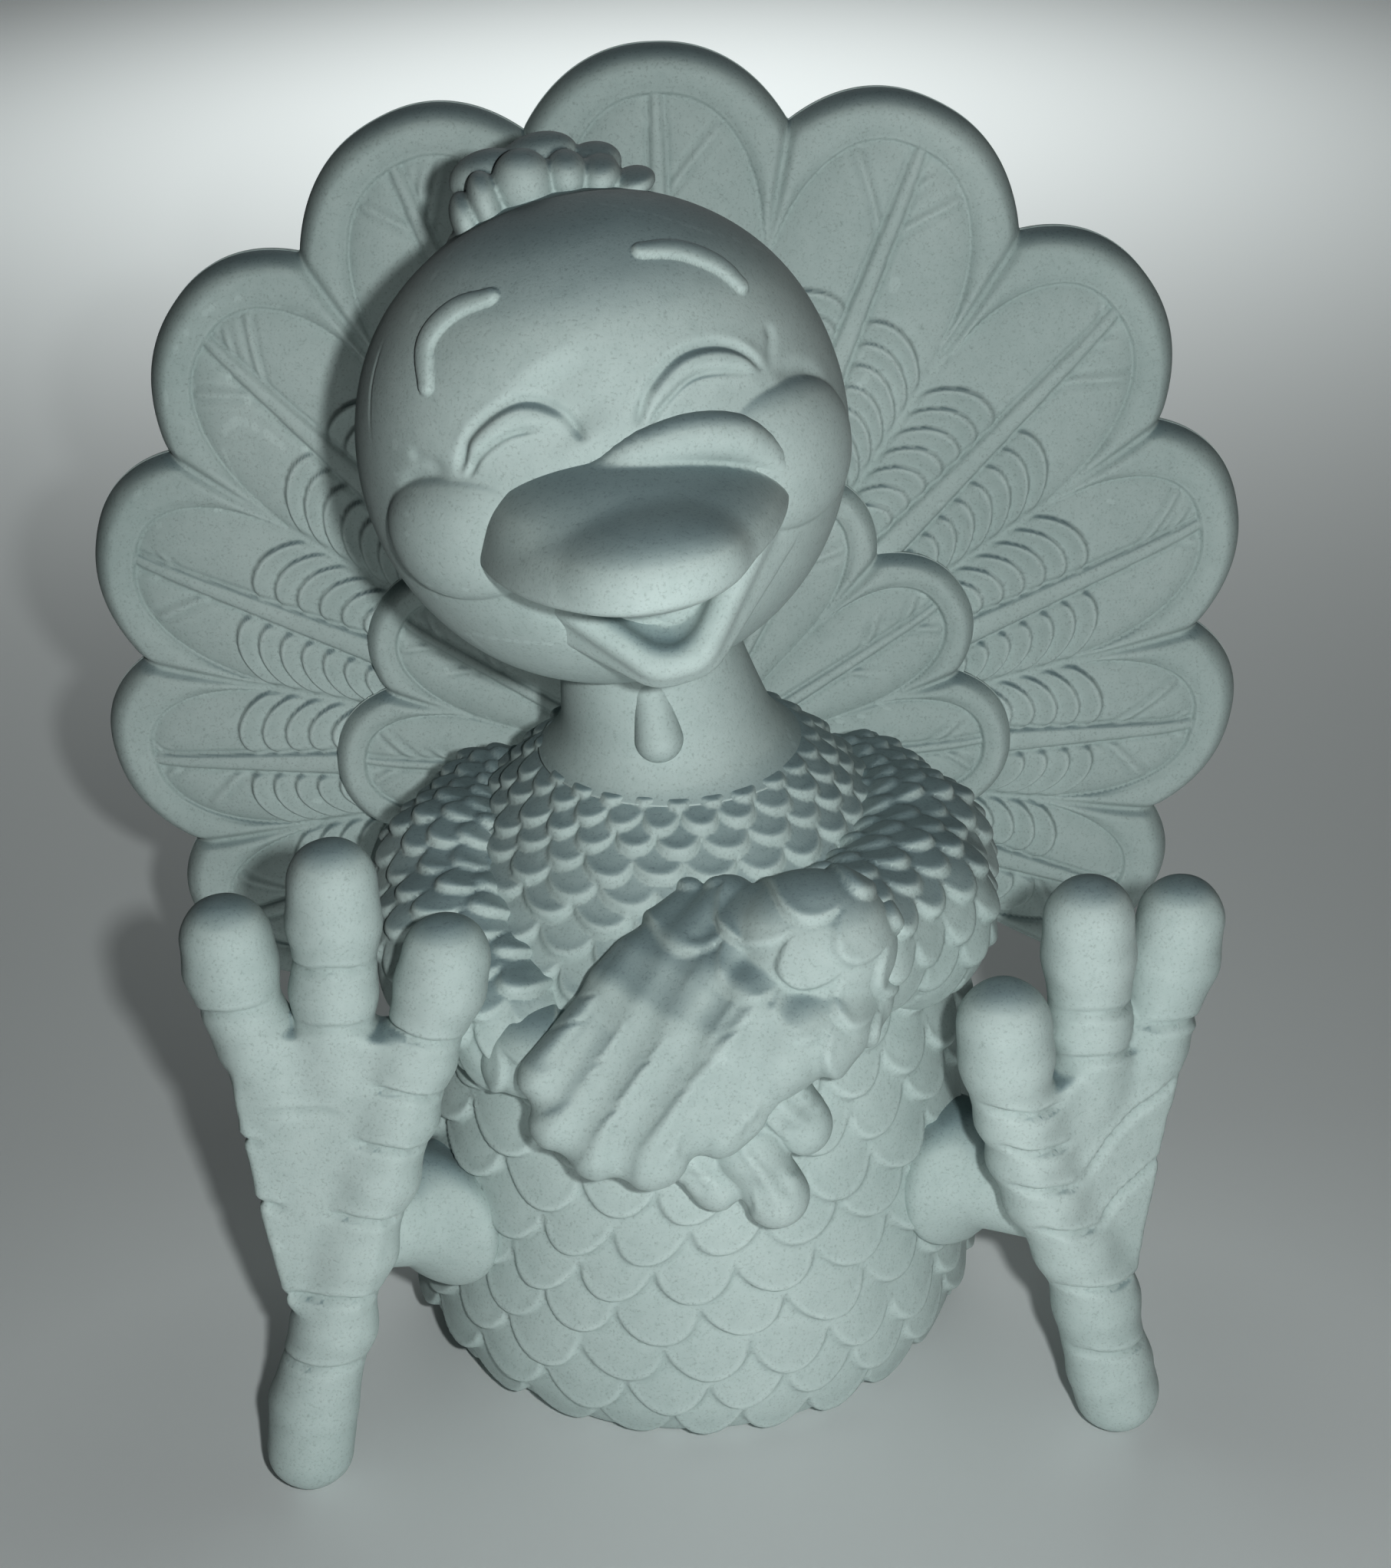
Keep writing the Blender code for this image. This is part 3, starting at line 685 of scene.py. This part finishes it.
def fan_to_figure(angle, reach, front):
    """Polar fan coordinates, with front as millimetres towards the viewer, to the figure frame."""
    across, up = reach * np.sin(angle), reach * np.cos(angle)
    lean_y = up * math.sin(FAN_LEAN) - front * math.cos(FAN_LEAN)
    lean_z = up * math.cos(FAN_LEAN) + front * math.sin(FAN_LEAN)
    return np.stack([across, lean_y, lean_z], -1) + FAN_CENTRE


def circle_reach(angle, radius, rise):
    """Distance from the fan's centre to a circle whose own centre lies rise above it."""
    return rise * np.cos(angle) + np.sqrt(radius ** 2 - (rise * np.sin(angle)) ** 2)


def feather_across(angle, pitch, lobes):
    """Feather number, and the place across it from -1 to 1."""
    number = np.clip(np.round(angle / pitch), -(lobes // 2), lobes // 2)
    return number, np.clip(2 * (angle - number * pitch) / pitch, -1, 1)


def cut_line(distance, depth, width):
    return -depth * np.exp(-(distance / width) ** 2)


def feather_relief(angle, reach, tip, pitch, lobes, rim, quill_from, seed, flight):
    """Relief of one tier of tail feathers. Flight feathers have a thick quill and stacked crescents; the
    inner tier has a thin quill and plain panels."""
    number, share = feather_across(angle, pitch, lobes)
    half_width = pitch / 2 * reach
    across = share * half_width
    vane = number * 2 + np.where(share > 0, 1.0, 0.0)
    valley = (1 - np.abs(share)) * half_width
    bend = np.clip(np.abs(share + 0.05 * (scatter(number, seed) - 0.5)) / 0.95, 0, 1)
    arch = tip - rim - 2.2 * rim * (1 - np.sqrt(1 - bend ** 2.6))
    out, within = np.clip(tip - reach, 0, None), np.clip(reach - arch, 0, None)
    puff = 1.75 * np.sqrt(4 * out * within) / np.maximum(out + within, 0.05)
    panel = (0.2 + 1.9 * (1 - np.abs(share) ** 2.6)) * (1 - 0.4 * np.exp(-(across / 3.6) ** 2))
    panel = panel * (1 - 0.8 * np.exp(-np.clip(arch - reach, 0, None) / 2.6))
    height = np.where(reach > arch, puff * (0.75 + 0.25 * step(0, 1.6, valley)), panel)
    height += cut_line(valley, 0.7, 0.7)
    height += 0.30 * np.exp(-((reach - arch - 0.2) / 0.45) ** 2) + cut_line(reach - arch + 0.7, 0.35, 0.5)
    along = np.clip((reach - quill_from) / (tip - rim - quill_from), 0, 1)
    half = 2.1 - 1.35 * along if flight else 0.75 - 0.25 * along
    if flight:
        end = quill_from + (tip - quill_from) * (0.53 + 0.06 * scatter(vane, seed + 1))
        u = 2 * np.clip((np.abs(across) - half) / np.maximum(half_width - half, 1), 0, 1) - 1
        row = (end - reach - 1.7 * u ** 2 - 0.9 * u ** 6) / (3.15 + 0.3 * scatter(vane, seed + 2))
        ripple = 1 - (row - np.floor(row))
        bead = ripple ** 1.2 * np.sqrt(np.clip(1 - np.clip((ripple - 0.72) / 0.28, 0, 1) ** 2.4, 0, 1))
        height += np.where((row > 0) & (reach < arch), 1.5 * bead * (1 - 0.8 * u ** 4), 0.0)
    tall = 1.45 - 0.95 * along ** 1.3 if flight else 0.45 - 0.15 * along
    quill = np.sqrt(np.clip(1 - (across / (half + 0.15)) ** 2, 0, 1))
    height = np.where(reach < arch + 0.5, np.maximum(height, panel + tall * quill), height)
    height += cut_line(np.abs(across) - half - 0.35, 0.38, 0.45) * (reach < arch)
    splits = ((12.5, 10.0), (5.0, 3.0)) if flight else ((8.0, 5.5), (15.0, 4.0))
    for index, (back, long) in enumerate(splits):
        start = tip - rim - back - 5.0 * (scatter(vane, index, 7 + seed) - 0.5)
        line = (reach - start) * 0.57 - np.abs(across) * 0.82
        length = half + long * (0.7 + 0.6 * scatter(vane, index, 9 + seed))
        inside_line = step(half, half + 0.8, np.abs(across)) * step(0, 2.5, length - np.abs(across))
        present = scatter(vane, index, 5 + seed) > 0.22
        ridge = 0.20 * np.exp(-(line / 0.4) ** 2) + cut_line(np.abs(line) - 0.75, 0.24, 0.36)
        height += np.where(present & (reach < arch - 0.6), ridge * inside_line, 0.0)
    return height


def slab(front, back):
    """Points and faces of a closed slab between two grids of the same shape."""
    rows, columns = front.shape[:2]
    size = rows * columns
    faces = [grid_faces(rows, columns, 0, False), grid_faces(rows, columns, size, False, True)]
    for line in ((rows - 1) * columns + np.arange(columns), np.arange(columns)[::-1],
                 np.arange(rows) * columns, np.arange(rows)[::-1] * columns + columns - 1):
        a, b = line[:-1], line[1:]
        faces.append(np.stack([a, a + size, b + size, b], -1))
    return np.concatenate([front.reshape(-1, 3), back.reshape(-1, 3)]), np.concatenate(faces)


def make_tail(name, node, radius, rise, pitch, lobes, notch, rim, base, thickness, columns, rows, seed,
              flight):
    """One tier of the fan: a scalloped slab with feathers on its front and low ribs behind."""
    half = pitch * lobes / 2
    angle = np.linspace(-half, half, columns)[None, :]
    number, share = feather_across(angle, pitch, lobes)
    outline = circle_reach(angle, radius, rise) * (1 - notch * np.abs(share) ** 2.3)
    outline = outline * (1 + 0.012 * (scatter(number, 21 + seed) - 0.5))
    t = np.linspace(0, 1, rows)[:, None]
    t = 1 - (1 - t) ** 1.25
    reach = FIRST_REACH + (outline - FIRST_REACH) * t
    spread = np.broadcast_to(angle, reach.shape)
    tip = np.broadcast_to(outline, reach.shape)
    relief = feather_relief(spread, reach, tip, pitch, lobes, rim, 0.45 * radius, seed, flight)
    edge = np.clip(outline - reach, 0, None)
    roll = 0.46 * thickness
    rounding = np.sqrt(np.clip(1 - (1 - np.clip(edge / roll, 0, 1)) ** 2, 0, 1))
    front = base - roll + roll * rounding + (relief - 0.6) * (0.15 + 0.85 * rounding)
    back_relief = 0.55 * np.cos(share * math.pi / 2) - cut_line(np.abs(share) * pitch / 2 * reach, -0.5, 1.2)
    back = base - thickness + roll - (roll - 0.5 + back_relief) * rounding
    points, faces = slab(fan_to_figure(spread, reach, front), fan_to_figure(spread, reach, back))
    mesh_piece(name, node, points, faces)


# ------------ wings and hands

def chain_field(links, soft):
    """A limb through (point, radius) links."""
    def field(p):
        value = np.full(p.shape[:-1], 60.0)
        for (a, ra), (b, rb) in zip(links, links[1:]):
            value = smooth_min(value, capsule(p, a, b, ra, rb), soft)
        return value
    return field


LEFT_ARM = [((-25, 11, 72), 9.5), ((-29.5, -4, 71), 10.5), ((-29.5, -17, 68), 9.5), ((-23, -27, 64), 8.0)]
RIGHT_ARM = [((25, 11, 72), 9.5), ((30, -4, 72), 10.5), ((28.5, -18, 72), 10.5), ((20, -29, 75), 9.0)]
LEFT_WRIST, RIGHT_WRIST = (-19, -33, 62), (16, -34, 78)
LEFT_TIPS = [((-4, -38, 57), (3.0, -42.8, 48.6), 3.6), ((3.5, -39, 58.5), (10.2, -43.6, 46.6), 3.9),
             ((7.0, -38.5, 63), (13.4, -41.6, 55.8), 3.7)]
RIGHT_TIPS = [((1.0, -26.5, 78.5), (-17.6, -42.3, 64.4), 3.4),
              ((5.5, -28.0, 79.5), (-15.6, -44.4, 60.0), 4.3),
              ((9.5, -31.0, 79.5), (-11.2, -45.8, 57.4), 4.7), ((14, -34.5, 77.5), (-5.4, -46.4, 56.6), 5.0),
              ((19, -36.5, 73.5), (2.6, -44.8, 59.3), 4.6), ((21.5, -35.5, 70.5), (9.6, -41.6, 64.0), 4.3)]
COVER_WIDTH, COVER_PITCH = 7.6, 6.2


def arm_plumage(points):
    """Smaller scales over the shoulders and arms."""
    return plumage(points, 42, 1.35)


def hand_field(wrist, wrist_radius, tips, soft):
    """A mitten of fingers that run together, swelling towards the viewer between wrist and tips."""
    def field(p):
        value = ellipsoid(p, wrist, (wrist_radius * 1.15, wrist_radius * 0.95, wrist_radius))
        for root, tip, radius in tips:
            middle = 0.5 * np.add(root, tip) + np.array([0, -1.9, 1.3])
            near = np.add(0.7 * middle, 0.3 * np.array(root, float))
            finger = smooth_min(capsule(p, root, middle, radius * 0.85, radius + 0.5),
                                capsule(p, near, tip, radius + 0.5, radius), 1.5)
            value = smooth_min(value, finger, soft)
        return value
    return field


def hand_relief(points, wrist, tips, cover, seed):
    """Grooves between the finger feathers, long barbs along them, and covering scales over the wrist."""
    best, second = np.full(len(points), 1e9), np.full(len(points), 1e9)
    share, side, number = np.zeros(len(points)), np.zeros(len(points)), np.zeros(len(points))
    for index, (root, tip, radius) in enumerate(tips):
        along = np.subtract(tip, root).astype(float)
        t = ((points - np.asarray(root, float)) @ along) / (along @ along)
        gap = points - np.asarray(root, float) - np.clip(t, 0, 1)[:, None] * along
        distance = np.linalg.norm(gap, axis=1) - radius
        across = gap @ unit(np.cross(along, (0, -1, 0.3)))
        closer = distance < best
        second = np.where(closer, best, np.minimum(second, distance))
        best = np.where(closer, distance, best)
        share, side = np.where(closer, t, share), np.where(closer, across, side)
        number = np.where(closer, index, number)
    shown = step(0.08, 0.3, share)
    furrow = cut_line(second - best, 1.1, 1.0) * shown + 0.35 * step(0.8, 3.0, second - best) * shown
    flute = (0.17 * np.cos(2 * math.pi * side / 2.6 + number)
             * step(0.12, 0.3, share) * step(0, 0.15, 1.05 - share))
    nick = 0.0
    for index in range(4):
        start = 0.30 + 0.17 * index + 0.10 * scatter(number, index, seed)
        line = (share - start) * 28 - np.abs(side - 2.4 + 4.8 * scatter(number, index, 2 + seed)) * 1.9
        nick = nick + cut_line(line, 0.20, 0.4) * (np.abs(side) < 3.6) * (share < 0.95)
    q = points - np.asarray(wrist, float)
    middle = unit(np.mean([np.subtract(tip, root) for root, tip, _ in tips], axis=0))
    sideways = unit(np.cross(middle, (0, -1, 0.2)))
    reach, across = q @ middle, q @ sideways
    column, row = across / COVER_WIDTH + 40.3, (reach + 16) / COVER_PITCH
    cover_scales = scales(column, row, COVER_WIDTH, COVER_PITCH, 1.35, seed) * step(-1, 2, cover - reach)
    return np.maximum(furrow + flute + nick, cover_scales)


# ------------ legs and feet

LEFT_LEG = [((-25, -17, 32), 9.0), ((-33, -24, 32.5), 8.2), ((-47, -33, 37), 6.6)]
RIGHT_LEG = [((25, -15, 35), 9.0), ((35, -22, 35), 8.2), ((50, -31, 35), 6.6)]
LEFT_HIP, LEFT_HIP_AXIS = (-34.5, -27, 32), (-0.55, -0.83, 0)
RIGHT_HIP, RIGHT_HIP_AXIS = (36.5, -24, 33.5), (0.6, -0.8, 0)
HIP_RADIUS, HIP_HEIGHT = 10.0, 4.0


def leg_field(links, hip, hip_axis):
    """A limb with a low round hip where it leaves the body."""
    limb = chain_field(links, 2.5)

    def field(p):
        q = p - np.asarray(hip, float)
        axis = unit(hip_axis)
        depth = q @ axis
        radial = np.linalg.norm(q - depth[..., None] * axis, axis=-1)
        size = np.sqrt((radial / HIP_RADIUS) ** 2 + (depth / HIP_HEIGHT) ** 2)
        cap = (size - 1) * HIP_HEIGHT * np.maximum(size, 0.4) ** 0.5
        return smooth_min(limb(p), cap, 2.2)
    return field


class Foot:
    """A tall bare foot stood on its heel. Columns are chains of (across, up the sole, radius), the palm is
    the sole's outline, and each crease is a start, an end, a bow and a depth."""

    def __init__(self, heel, lean, yaw, columns, palm, creases):
        self.heel = np.asarray(heel, float)
        lean, yaw = math.radians(lean), math.radians(yaw)
        lean_turn = np.array([[1, 0, 0], [0, math.cos(lean), math.sin(lean)],
                              [0, -math.sin(lean), math.cos(lean)]])
        yaw_turn = np.array([[math.cos(yaw), -math.sin(yaw), 0], [math.sin(yaw), math.cos(yaw), 0],
                             [0, 0, 1]])
        self.turn = yaw_turn @ lean_turn
        self.columns, self.palm, self.creases = columns, np.array(palm, float), creases

    def local(self, p):
        return (p - self.heel) @ self.turn

    def field(self, p):
        q = self.local(p)
        q = np.stack([q[..., 0], q[..., 1] / 0.97, q[..., 2]], -1)
        value = np.full(q.shape[:-1], 60.0)
        for chain in self.columns:
            toe = np.full(q.shape[:-1], 60.0)
            for (xa, za, ra), (xb, zb, rb) in zip(chain, chain[1:]):
                toe = smooth_min(toe, capsule(q, (xa, 0, za), (xb, 0, zb), ra, rb), 0.5)
            value = smooth_min(value, toe, 0.7)
        flat = q[..., [0, 2]]
        plate = np.full(flat.shape[:-1], -60.0)
        for a, b in zip(self.palm, np.roll(self.palm, -1, axis=0)):
            along = unit(b - a)
            plate = smooth_max(plate, (flat - a) @ np.array([along[1], -along[0]]), 2.0)
        plate = smooth_max(plate, np.abs(q[..., 1] + 0.1) - 4.0, 1.2)
        return smooth_min(value, plate, 1.6)

    def relief(self, p):
        """Creases across the toes and along the edge of the sole, with slightly uneven tooling."""
        q = self.local(p)
        front = step(-3.0, 2.0, -q[:, 1])
        flat = q[:, [0, 2]]
        total = np.zeros(len(p))
        for a, b, bow, depth in self.creases:
            along = np.subtract(b, a).astype(float)
            length = np.linalg.norm(along)
            t = ((flat - a) @ along) / length ** 2
            off = (flat - a) @ np.array([-along[1], along[0]]) / length - bow * (1 - (2 * t - 1) ** 2)
            off = off + 0.25 * wobble(p, 2.2)
            total += cut_line(off, 1.9 * depth, 0.5) * step(-0.05, 0.2, t) * step(-0.05, 0.2, 1 - t) * front
            swell = 0.5 * depth * np.exp(-((off - 1.0) / 0.9) ** 2)
            total += swell * step(0, 0.25, t) * step(0, 0.25, 1 - t) * front
        return total + 0.10 * wobble(p, 4.0) + 0.06 * wobble(p, 1.7, 3.0)


LEFT_FOOT = Foot(
    (-52.3, -41.4, 0), 6, -3,
    [[(-4.6, 80.6, 5.7), (-4.3, 77.0, 5.9), (-3.4, 71.4, 5.0), (-1.8, 67.0, 5.4), (0.4, 59.0, 4.4)],
     [(9.0, 88.0, 5.6), (8.9, 83.0, 5.9), (8.6, 77.4, 5.1), (8.2, 73.5, 5.5), (8.0, 68.8, 4.8),
      (7.9, 63.0, 4.2)],
     [(22.4, 78.0, 5.5), (21.4, 74.0, 5.7), (19.2, 68.0, 4.7), (17.8, 64.5, 5.3), (16.5, 60.6, 4.7),
      (15.2, 56.8, 5.3), (13.6, 52.4, 4.7), (12.2, 47.8, 5.3), (10.0, 42.7, 4.7), (8.4, 37.0, 5.5),
      (6.0, 31.0, 4.8), (4.8, 25.5, 5.7), (3.2, 20.8, 5.2), (1.2, 13.0, 5.9), (0.2, 6.0, 5.8)]],
    [(-0.5, 29.0), (8.5, 29.0), (13.0, 42.0), (18.5, 62.0), (16.5, 67.5), (8.0, 69.5), (-2.0, 67.5),
     (-5.0, 62.0), (-3.0, 42.0)],
    [((-9.0, 71.6), (1.6, 73.0), 0.4, 0.5), ((3.0, 77.8), (14.4, 77.6), 0.5, 0.5),
     ((3.6, 70.2), (13.0, 69.8), 0.5, 0.35), ((13.8, 69.8), (24.4, 67.0), 0.4, 0.6),
     ((12.2, 62.0), (21.6, 59.6), 0.4, 0.6), ((9.4, 54.2), (18.8, 52.2), 0.4, 0.6),
     ((5.6, 43.8), (15.4, 42.2), 0.4, 0.6), ((-1.6, 31.6), (11.6, 30.8), 0.5, 0.7),
     ((-2.6, 21.4), (9.0, 20.4), 0.5, 0.55), ((-7.0, 55.0), (-1.6, 54.0), 0.2, 0.4),
     ((-5.0, 46.0), (0.6, 44.6), 0.2, 0.4), ((-2.0, 58.5), (9.0, 58.0), 0.8, 0.25)])
RIGHT_FOOT = Foot(
    (56.7, -36.1, 0), 3, 25,
    [[(-18.4, 69.0, 5.9), (-18.0, 64.0, 6.0), (-17.2, 58.6, 5.0), (-16.4, 55.6, 5.5), (-15.6, 52.6, 4.8),
      (-14.8, 49.4, 5.4), (-13.8, 46.2, 4.8), (-12.2, 42.2, 5.4), (-10.4, 38.4, 4.8), (-7.8, 33.0, 5.5),
      (-5.2, 28.0, 5.4), (-3.8, 22.5, 6.0), (-2.9, 17.0, 5.4), (-1.4, 11.0, 5.9), (0.0, 6.0, 5.8)],
     [(-6.2, 80.0, 5.7), (-6.1, 75.0, 5.9), (-5.9, 68.6, 5.1), (-5.8, 65.4, 5.5), (-5.6, 61.6, 4.8),
      (-5.6, 56.0, 4.2)],
     [(7.6, 76.2, 5.6), (6.6, 71.0, 5.9), (4.6, 64.0, 5.0), (3.2, 60.0, 5.4), (1.8, 54.0, 4.4)]],
    [(-7.0, 27.0), (0.5, 27.0), (3.0, 40.0), (5.6, 55.0), (4.2, 60.0), (-6.0, 62.0), (-15.5, 58.0),
     (-17.0, 50.0), (-12.0, 37.0)],
    [((-0.4, 68.2), (-11.8, 69.0), -0.5, 0.5), ((-1.0, 62.0), (-11.0, 62.4), -0.5, 0.4),
     ((-22.8, 59.4), (-11.8, 57.6), -0.4, 0.6), ((-21.0, 53.4), (-10.6, 51.6), -0.4, 0.6),
     ((-19.2, 47.2), (-9.2, 45.2), -0.4, 0.6), ((-15.8, 39.6), (-5.6, 37.4), -0.4, 0.6),
     ((-11.4, 28.8), (1.2, 27.4), -0.4, 0.7), ((-8.8, 17.4), (2.6, 16.6), -0.4, 0.55),
     ((10.0, 63.0), (-0.6, 64.6), -0.4, 0.5), ((-6.5, 37.4), (3.6, 44.5), 0.8, 0.6),
     ((-9.0, 45.6), (5.6, 56.5), 1.0, 0.5)])


# ------------ assembly

def head_box(across, forward, up):
    """Bounds in figure millimetres of a box given by ranges in head coordinates."""
    corners = head_to_figure([(x, y, z) for x in across for y in forward for z in up])
    return corners.min(0) - 1, corners.max(0) + 1


def limb_box(links, pad=1.5):
    low = np.min([np.subtract(point, radius) for point, radius in links], axis=0)
    high = np.max([np.add(point, radius) for point, radius in links], axis=0)
    return low - pad, high + pad


def make_wings():
    for side, links in (("left", LEFT_ARM), ("right", RIGHT_ARM)):
        make_form("wing_" + side, "arm_" + side, chain_field(links, 3.0), *limb_box(links), 0.45, arm_plumage)
    for side, wrist, radius, tips, cover, soft in (("left", LEFT_WRIST, 6.0, LEFT_TIPS, 2.0, 0.6),
                                                   ("right", RIGHT_WRIST, 8.4, RIGHT_TIPS, 12.5, 1.3)):
        balls = [(tip, r) for _, tip, r in tips] + [(root, r) for root, _, r in tips]
        low, high = limb_box(balls + [(wrist, radius * 1.2)], 3.0)
        relief = partial(hand_relief, wrist=wrist, tips=tips, cover=cover, seed=4.0)
        make_form("hand_" + side + "_feathers", "hand_" + side, hand_field(wrist, radius, tips, soft),
                  low, high, 0.45, relief)


def make_legs():
    for side, links, hip, hip_axis in (("left", LEFT_LEG, LEFT_HIP, LEFT_HIP_AXIS),
                                       ("right", RIGHT_LEG, RIGHT_HIP, RIGHT_HIP_AXIS)):
        make_form("thigh_" + side, "leg_" + side, leg_field(links, hip, hip_axis), *limb_box(links, 4.5), 0.5)
    for side, foot in (("left", LEFT_FOOT), ("right", RIGHT_FOOT)):
        balls = [((x, 0, z), r + 1.5) for chain in foot.columns for x, z, r in chain]
        spots = [np.add(centre, np.multiply(corner, r)) for centre, r in balls
                 for corner in ((-1, -1, -1), (1, 1, 1), (-1, 1, 1), (1, -1, -1))]
        world = np.array(spots) @ foot.turn.T + foot.heel
        make_form("sole_" + side, "foot_" + side, foot.field, world.min(0) - 1, world.max(0) + 1, 0.6,
                  foot.relief)


def make_all():
    make_body()
    make_neck()
    make_head()
    make_form("beak", "upper_bill", bill_field, *head_box((-21, 23), (-7, 52), (-6, 13)), 0.5)
    make_form("jaw", "lower_bill", jaw_field, *head_box((-19, 19), (18, 37), (-24, -2)), 0.45)
    make_form("comb", "comb_tuft", comb_field, *head_box((-17, 16), (-13, 9), (20, 36)), 0.5)
    make_form("wattle", "wattle_drop", wattle_field, (-9, -21, 90), (2, -6, 111), 0.4)
    make_tail("tail", "tail_fan", FAN_RADIUS, FAN_RISE, FAN_PITCH, FAN_LOBES, FAN_NOTCH,
              rim=6.4, base=0.0, thickness=7.0, columns=1000, rows=300, seed=0.0, flight=True)
    make_tail("tail_inner", "tail_coverts", COVERT_RADIUS, 0.0, COVERT_PITCH, COVERT_LOBES, COVERT_NOTCH,
              rim=4.4, base=4.2, thickness=4.6, columns=700, rows=190, seed=5.0, flight=False)
    make_wings()
    make_legs()


make_all()


# ------------ stage, light and camera

def stage_material():
    material = bpy.data.materials.new("stage_paper")
    material.use_nodes = True
    shader = material.node_tree.nodes["Principled BSDF"]
    shader.inputs["Base Color"].default_value = (0.76, 0.78, 0.78, 1)
    shader.inputs["Roughness"].default_value = 0.9
    return material


FLOOR_HALF, FLOOR_GAP = 1.5, 0.0002


def make_floor():
    """A plain floor a hair below the figure's foot."""
    half = FLOOR_HALF
    corners = [(-half, -half, 0), (half, -half, 0), (half, half, 0), (-half, half, 0)]
    mesh = bpy.data.meshes.new("floor")
    points = [tuple(AXIS + np.array(corner) - np.array([0, 0, FLOOR_GAP])) for corner in corners]
    mesh.from_pydata(points, [], [(0, 1, 2, 3)])
    mesh.materials.append(stage_material())
    floor = bpy.data.objects.new("floor", mesh)
    bpy.context.scene.collection.objects.link(floor)


CAMERA_AZIMUTH, CAMERA_RISE, CAMERA_ROLL = math.radians(-1.0), math.radians(28.0), math.radians(1.5)
CAMERA_TARGET = (2.2, 0.0, 82.0)
CAMERA_DISTANCE, CAMERA_LENS = 345.0, 59.2


def make_camera():
    """The camera, and its place with its right and up directions in figure coordinates."""
    level = math.cos(CAMERA_RISE)
    back = np.array([math.sin(CAMERA_AZIMUTH) * level, -math.cos(CAMERA_AZIMUTH) * level,
                     math.sin(CAMERA_RISE)])
    spot = np.array(CAMERA_TARGET) + CAMERA_DISTANCE * back
    right = unit(np.cross((0, 0, 1), back))
    up = np.cross(back, right)
    rolled_right = right * math.cos(CAMERA_ROLL) - up * math.sin(CAMERA_ROLL)
    rolled_up = up * math.cos(CAMERA_ROLL) + right * math.sin(CAMERA_ROLL)
    data = bpy.data.cameras.new("camera")
    data.lens, data.sensor_width = CAMERA_LENS, 36.0
    data.clip_start = 0.01
    camera = bpy.data.objects.new("camera", data)
    bpy.context.scene.collection.objects.link(camera)
    matrix = np.eye(4)
    matrix[:3] = np.stack([rolled_right, rolled_up, back, place(spot)], 1)
    camera.matrix_world = Matrix(matrix.tolist())
    bpy.context.scene.camera = camera
    return spot, rolled_right, rolled_up


def area_light(name, spot, aim, size, power, colour, shadows=True):
    data = bpy.data.lights.new(name, "AREA")
    data.shape, data.size, data.energy, data.color = "DISK", size * MM, power, colour
    data.use_shadow = shadows
    light = bpy.data.objects.new(name, data)
    bpy.context.scene.collection.objects.link(light)
    light.location = place(spot)
    light.rotation_euler = Vector(np.subtract(spot, aim)).to_track_quat("Z", "Y").to_euler()


def light_stage(spot, right, up):
    """A small flash beside the lens, a low fill without shadows, a light on the floor behind and a faint
    room."""
    middle = np.array([0.0, -10.0, 85.0])
    tint = (0.97, 1.0, 0.995)
    area_light("flash", spot + 28 * right + 6 * up, middle, 12.0, 0.50, tint)
    area_light("low_front", np.array([60.0, -330.0, 20.0]), middle, 90.0, 0.21, tint, False)
    area_light("backdrop", np.array([0.0, 720.0, 380.0]), np.array([0.0, 660.0, 0.0]), 500.0, 1.7, tint)
    world = bpy.data.worlds.new("room")
    bpy.context.scene.world = world
    world.use_nodes = True
    world.node_tree.nodes["Background"].inputs["Color"].default_value = (0.75, 0.80, 0.80, 1)
    world.node_tree.nodes["Background"].inputs["Strength"].default_value = 0.015


make_floor()
light_stage(*make_camera())
bpy.context.scene.view_settings.view_transform = "Standard"
bpy.context.scene.view_settings.look = "High Contrast"
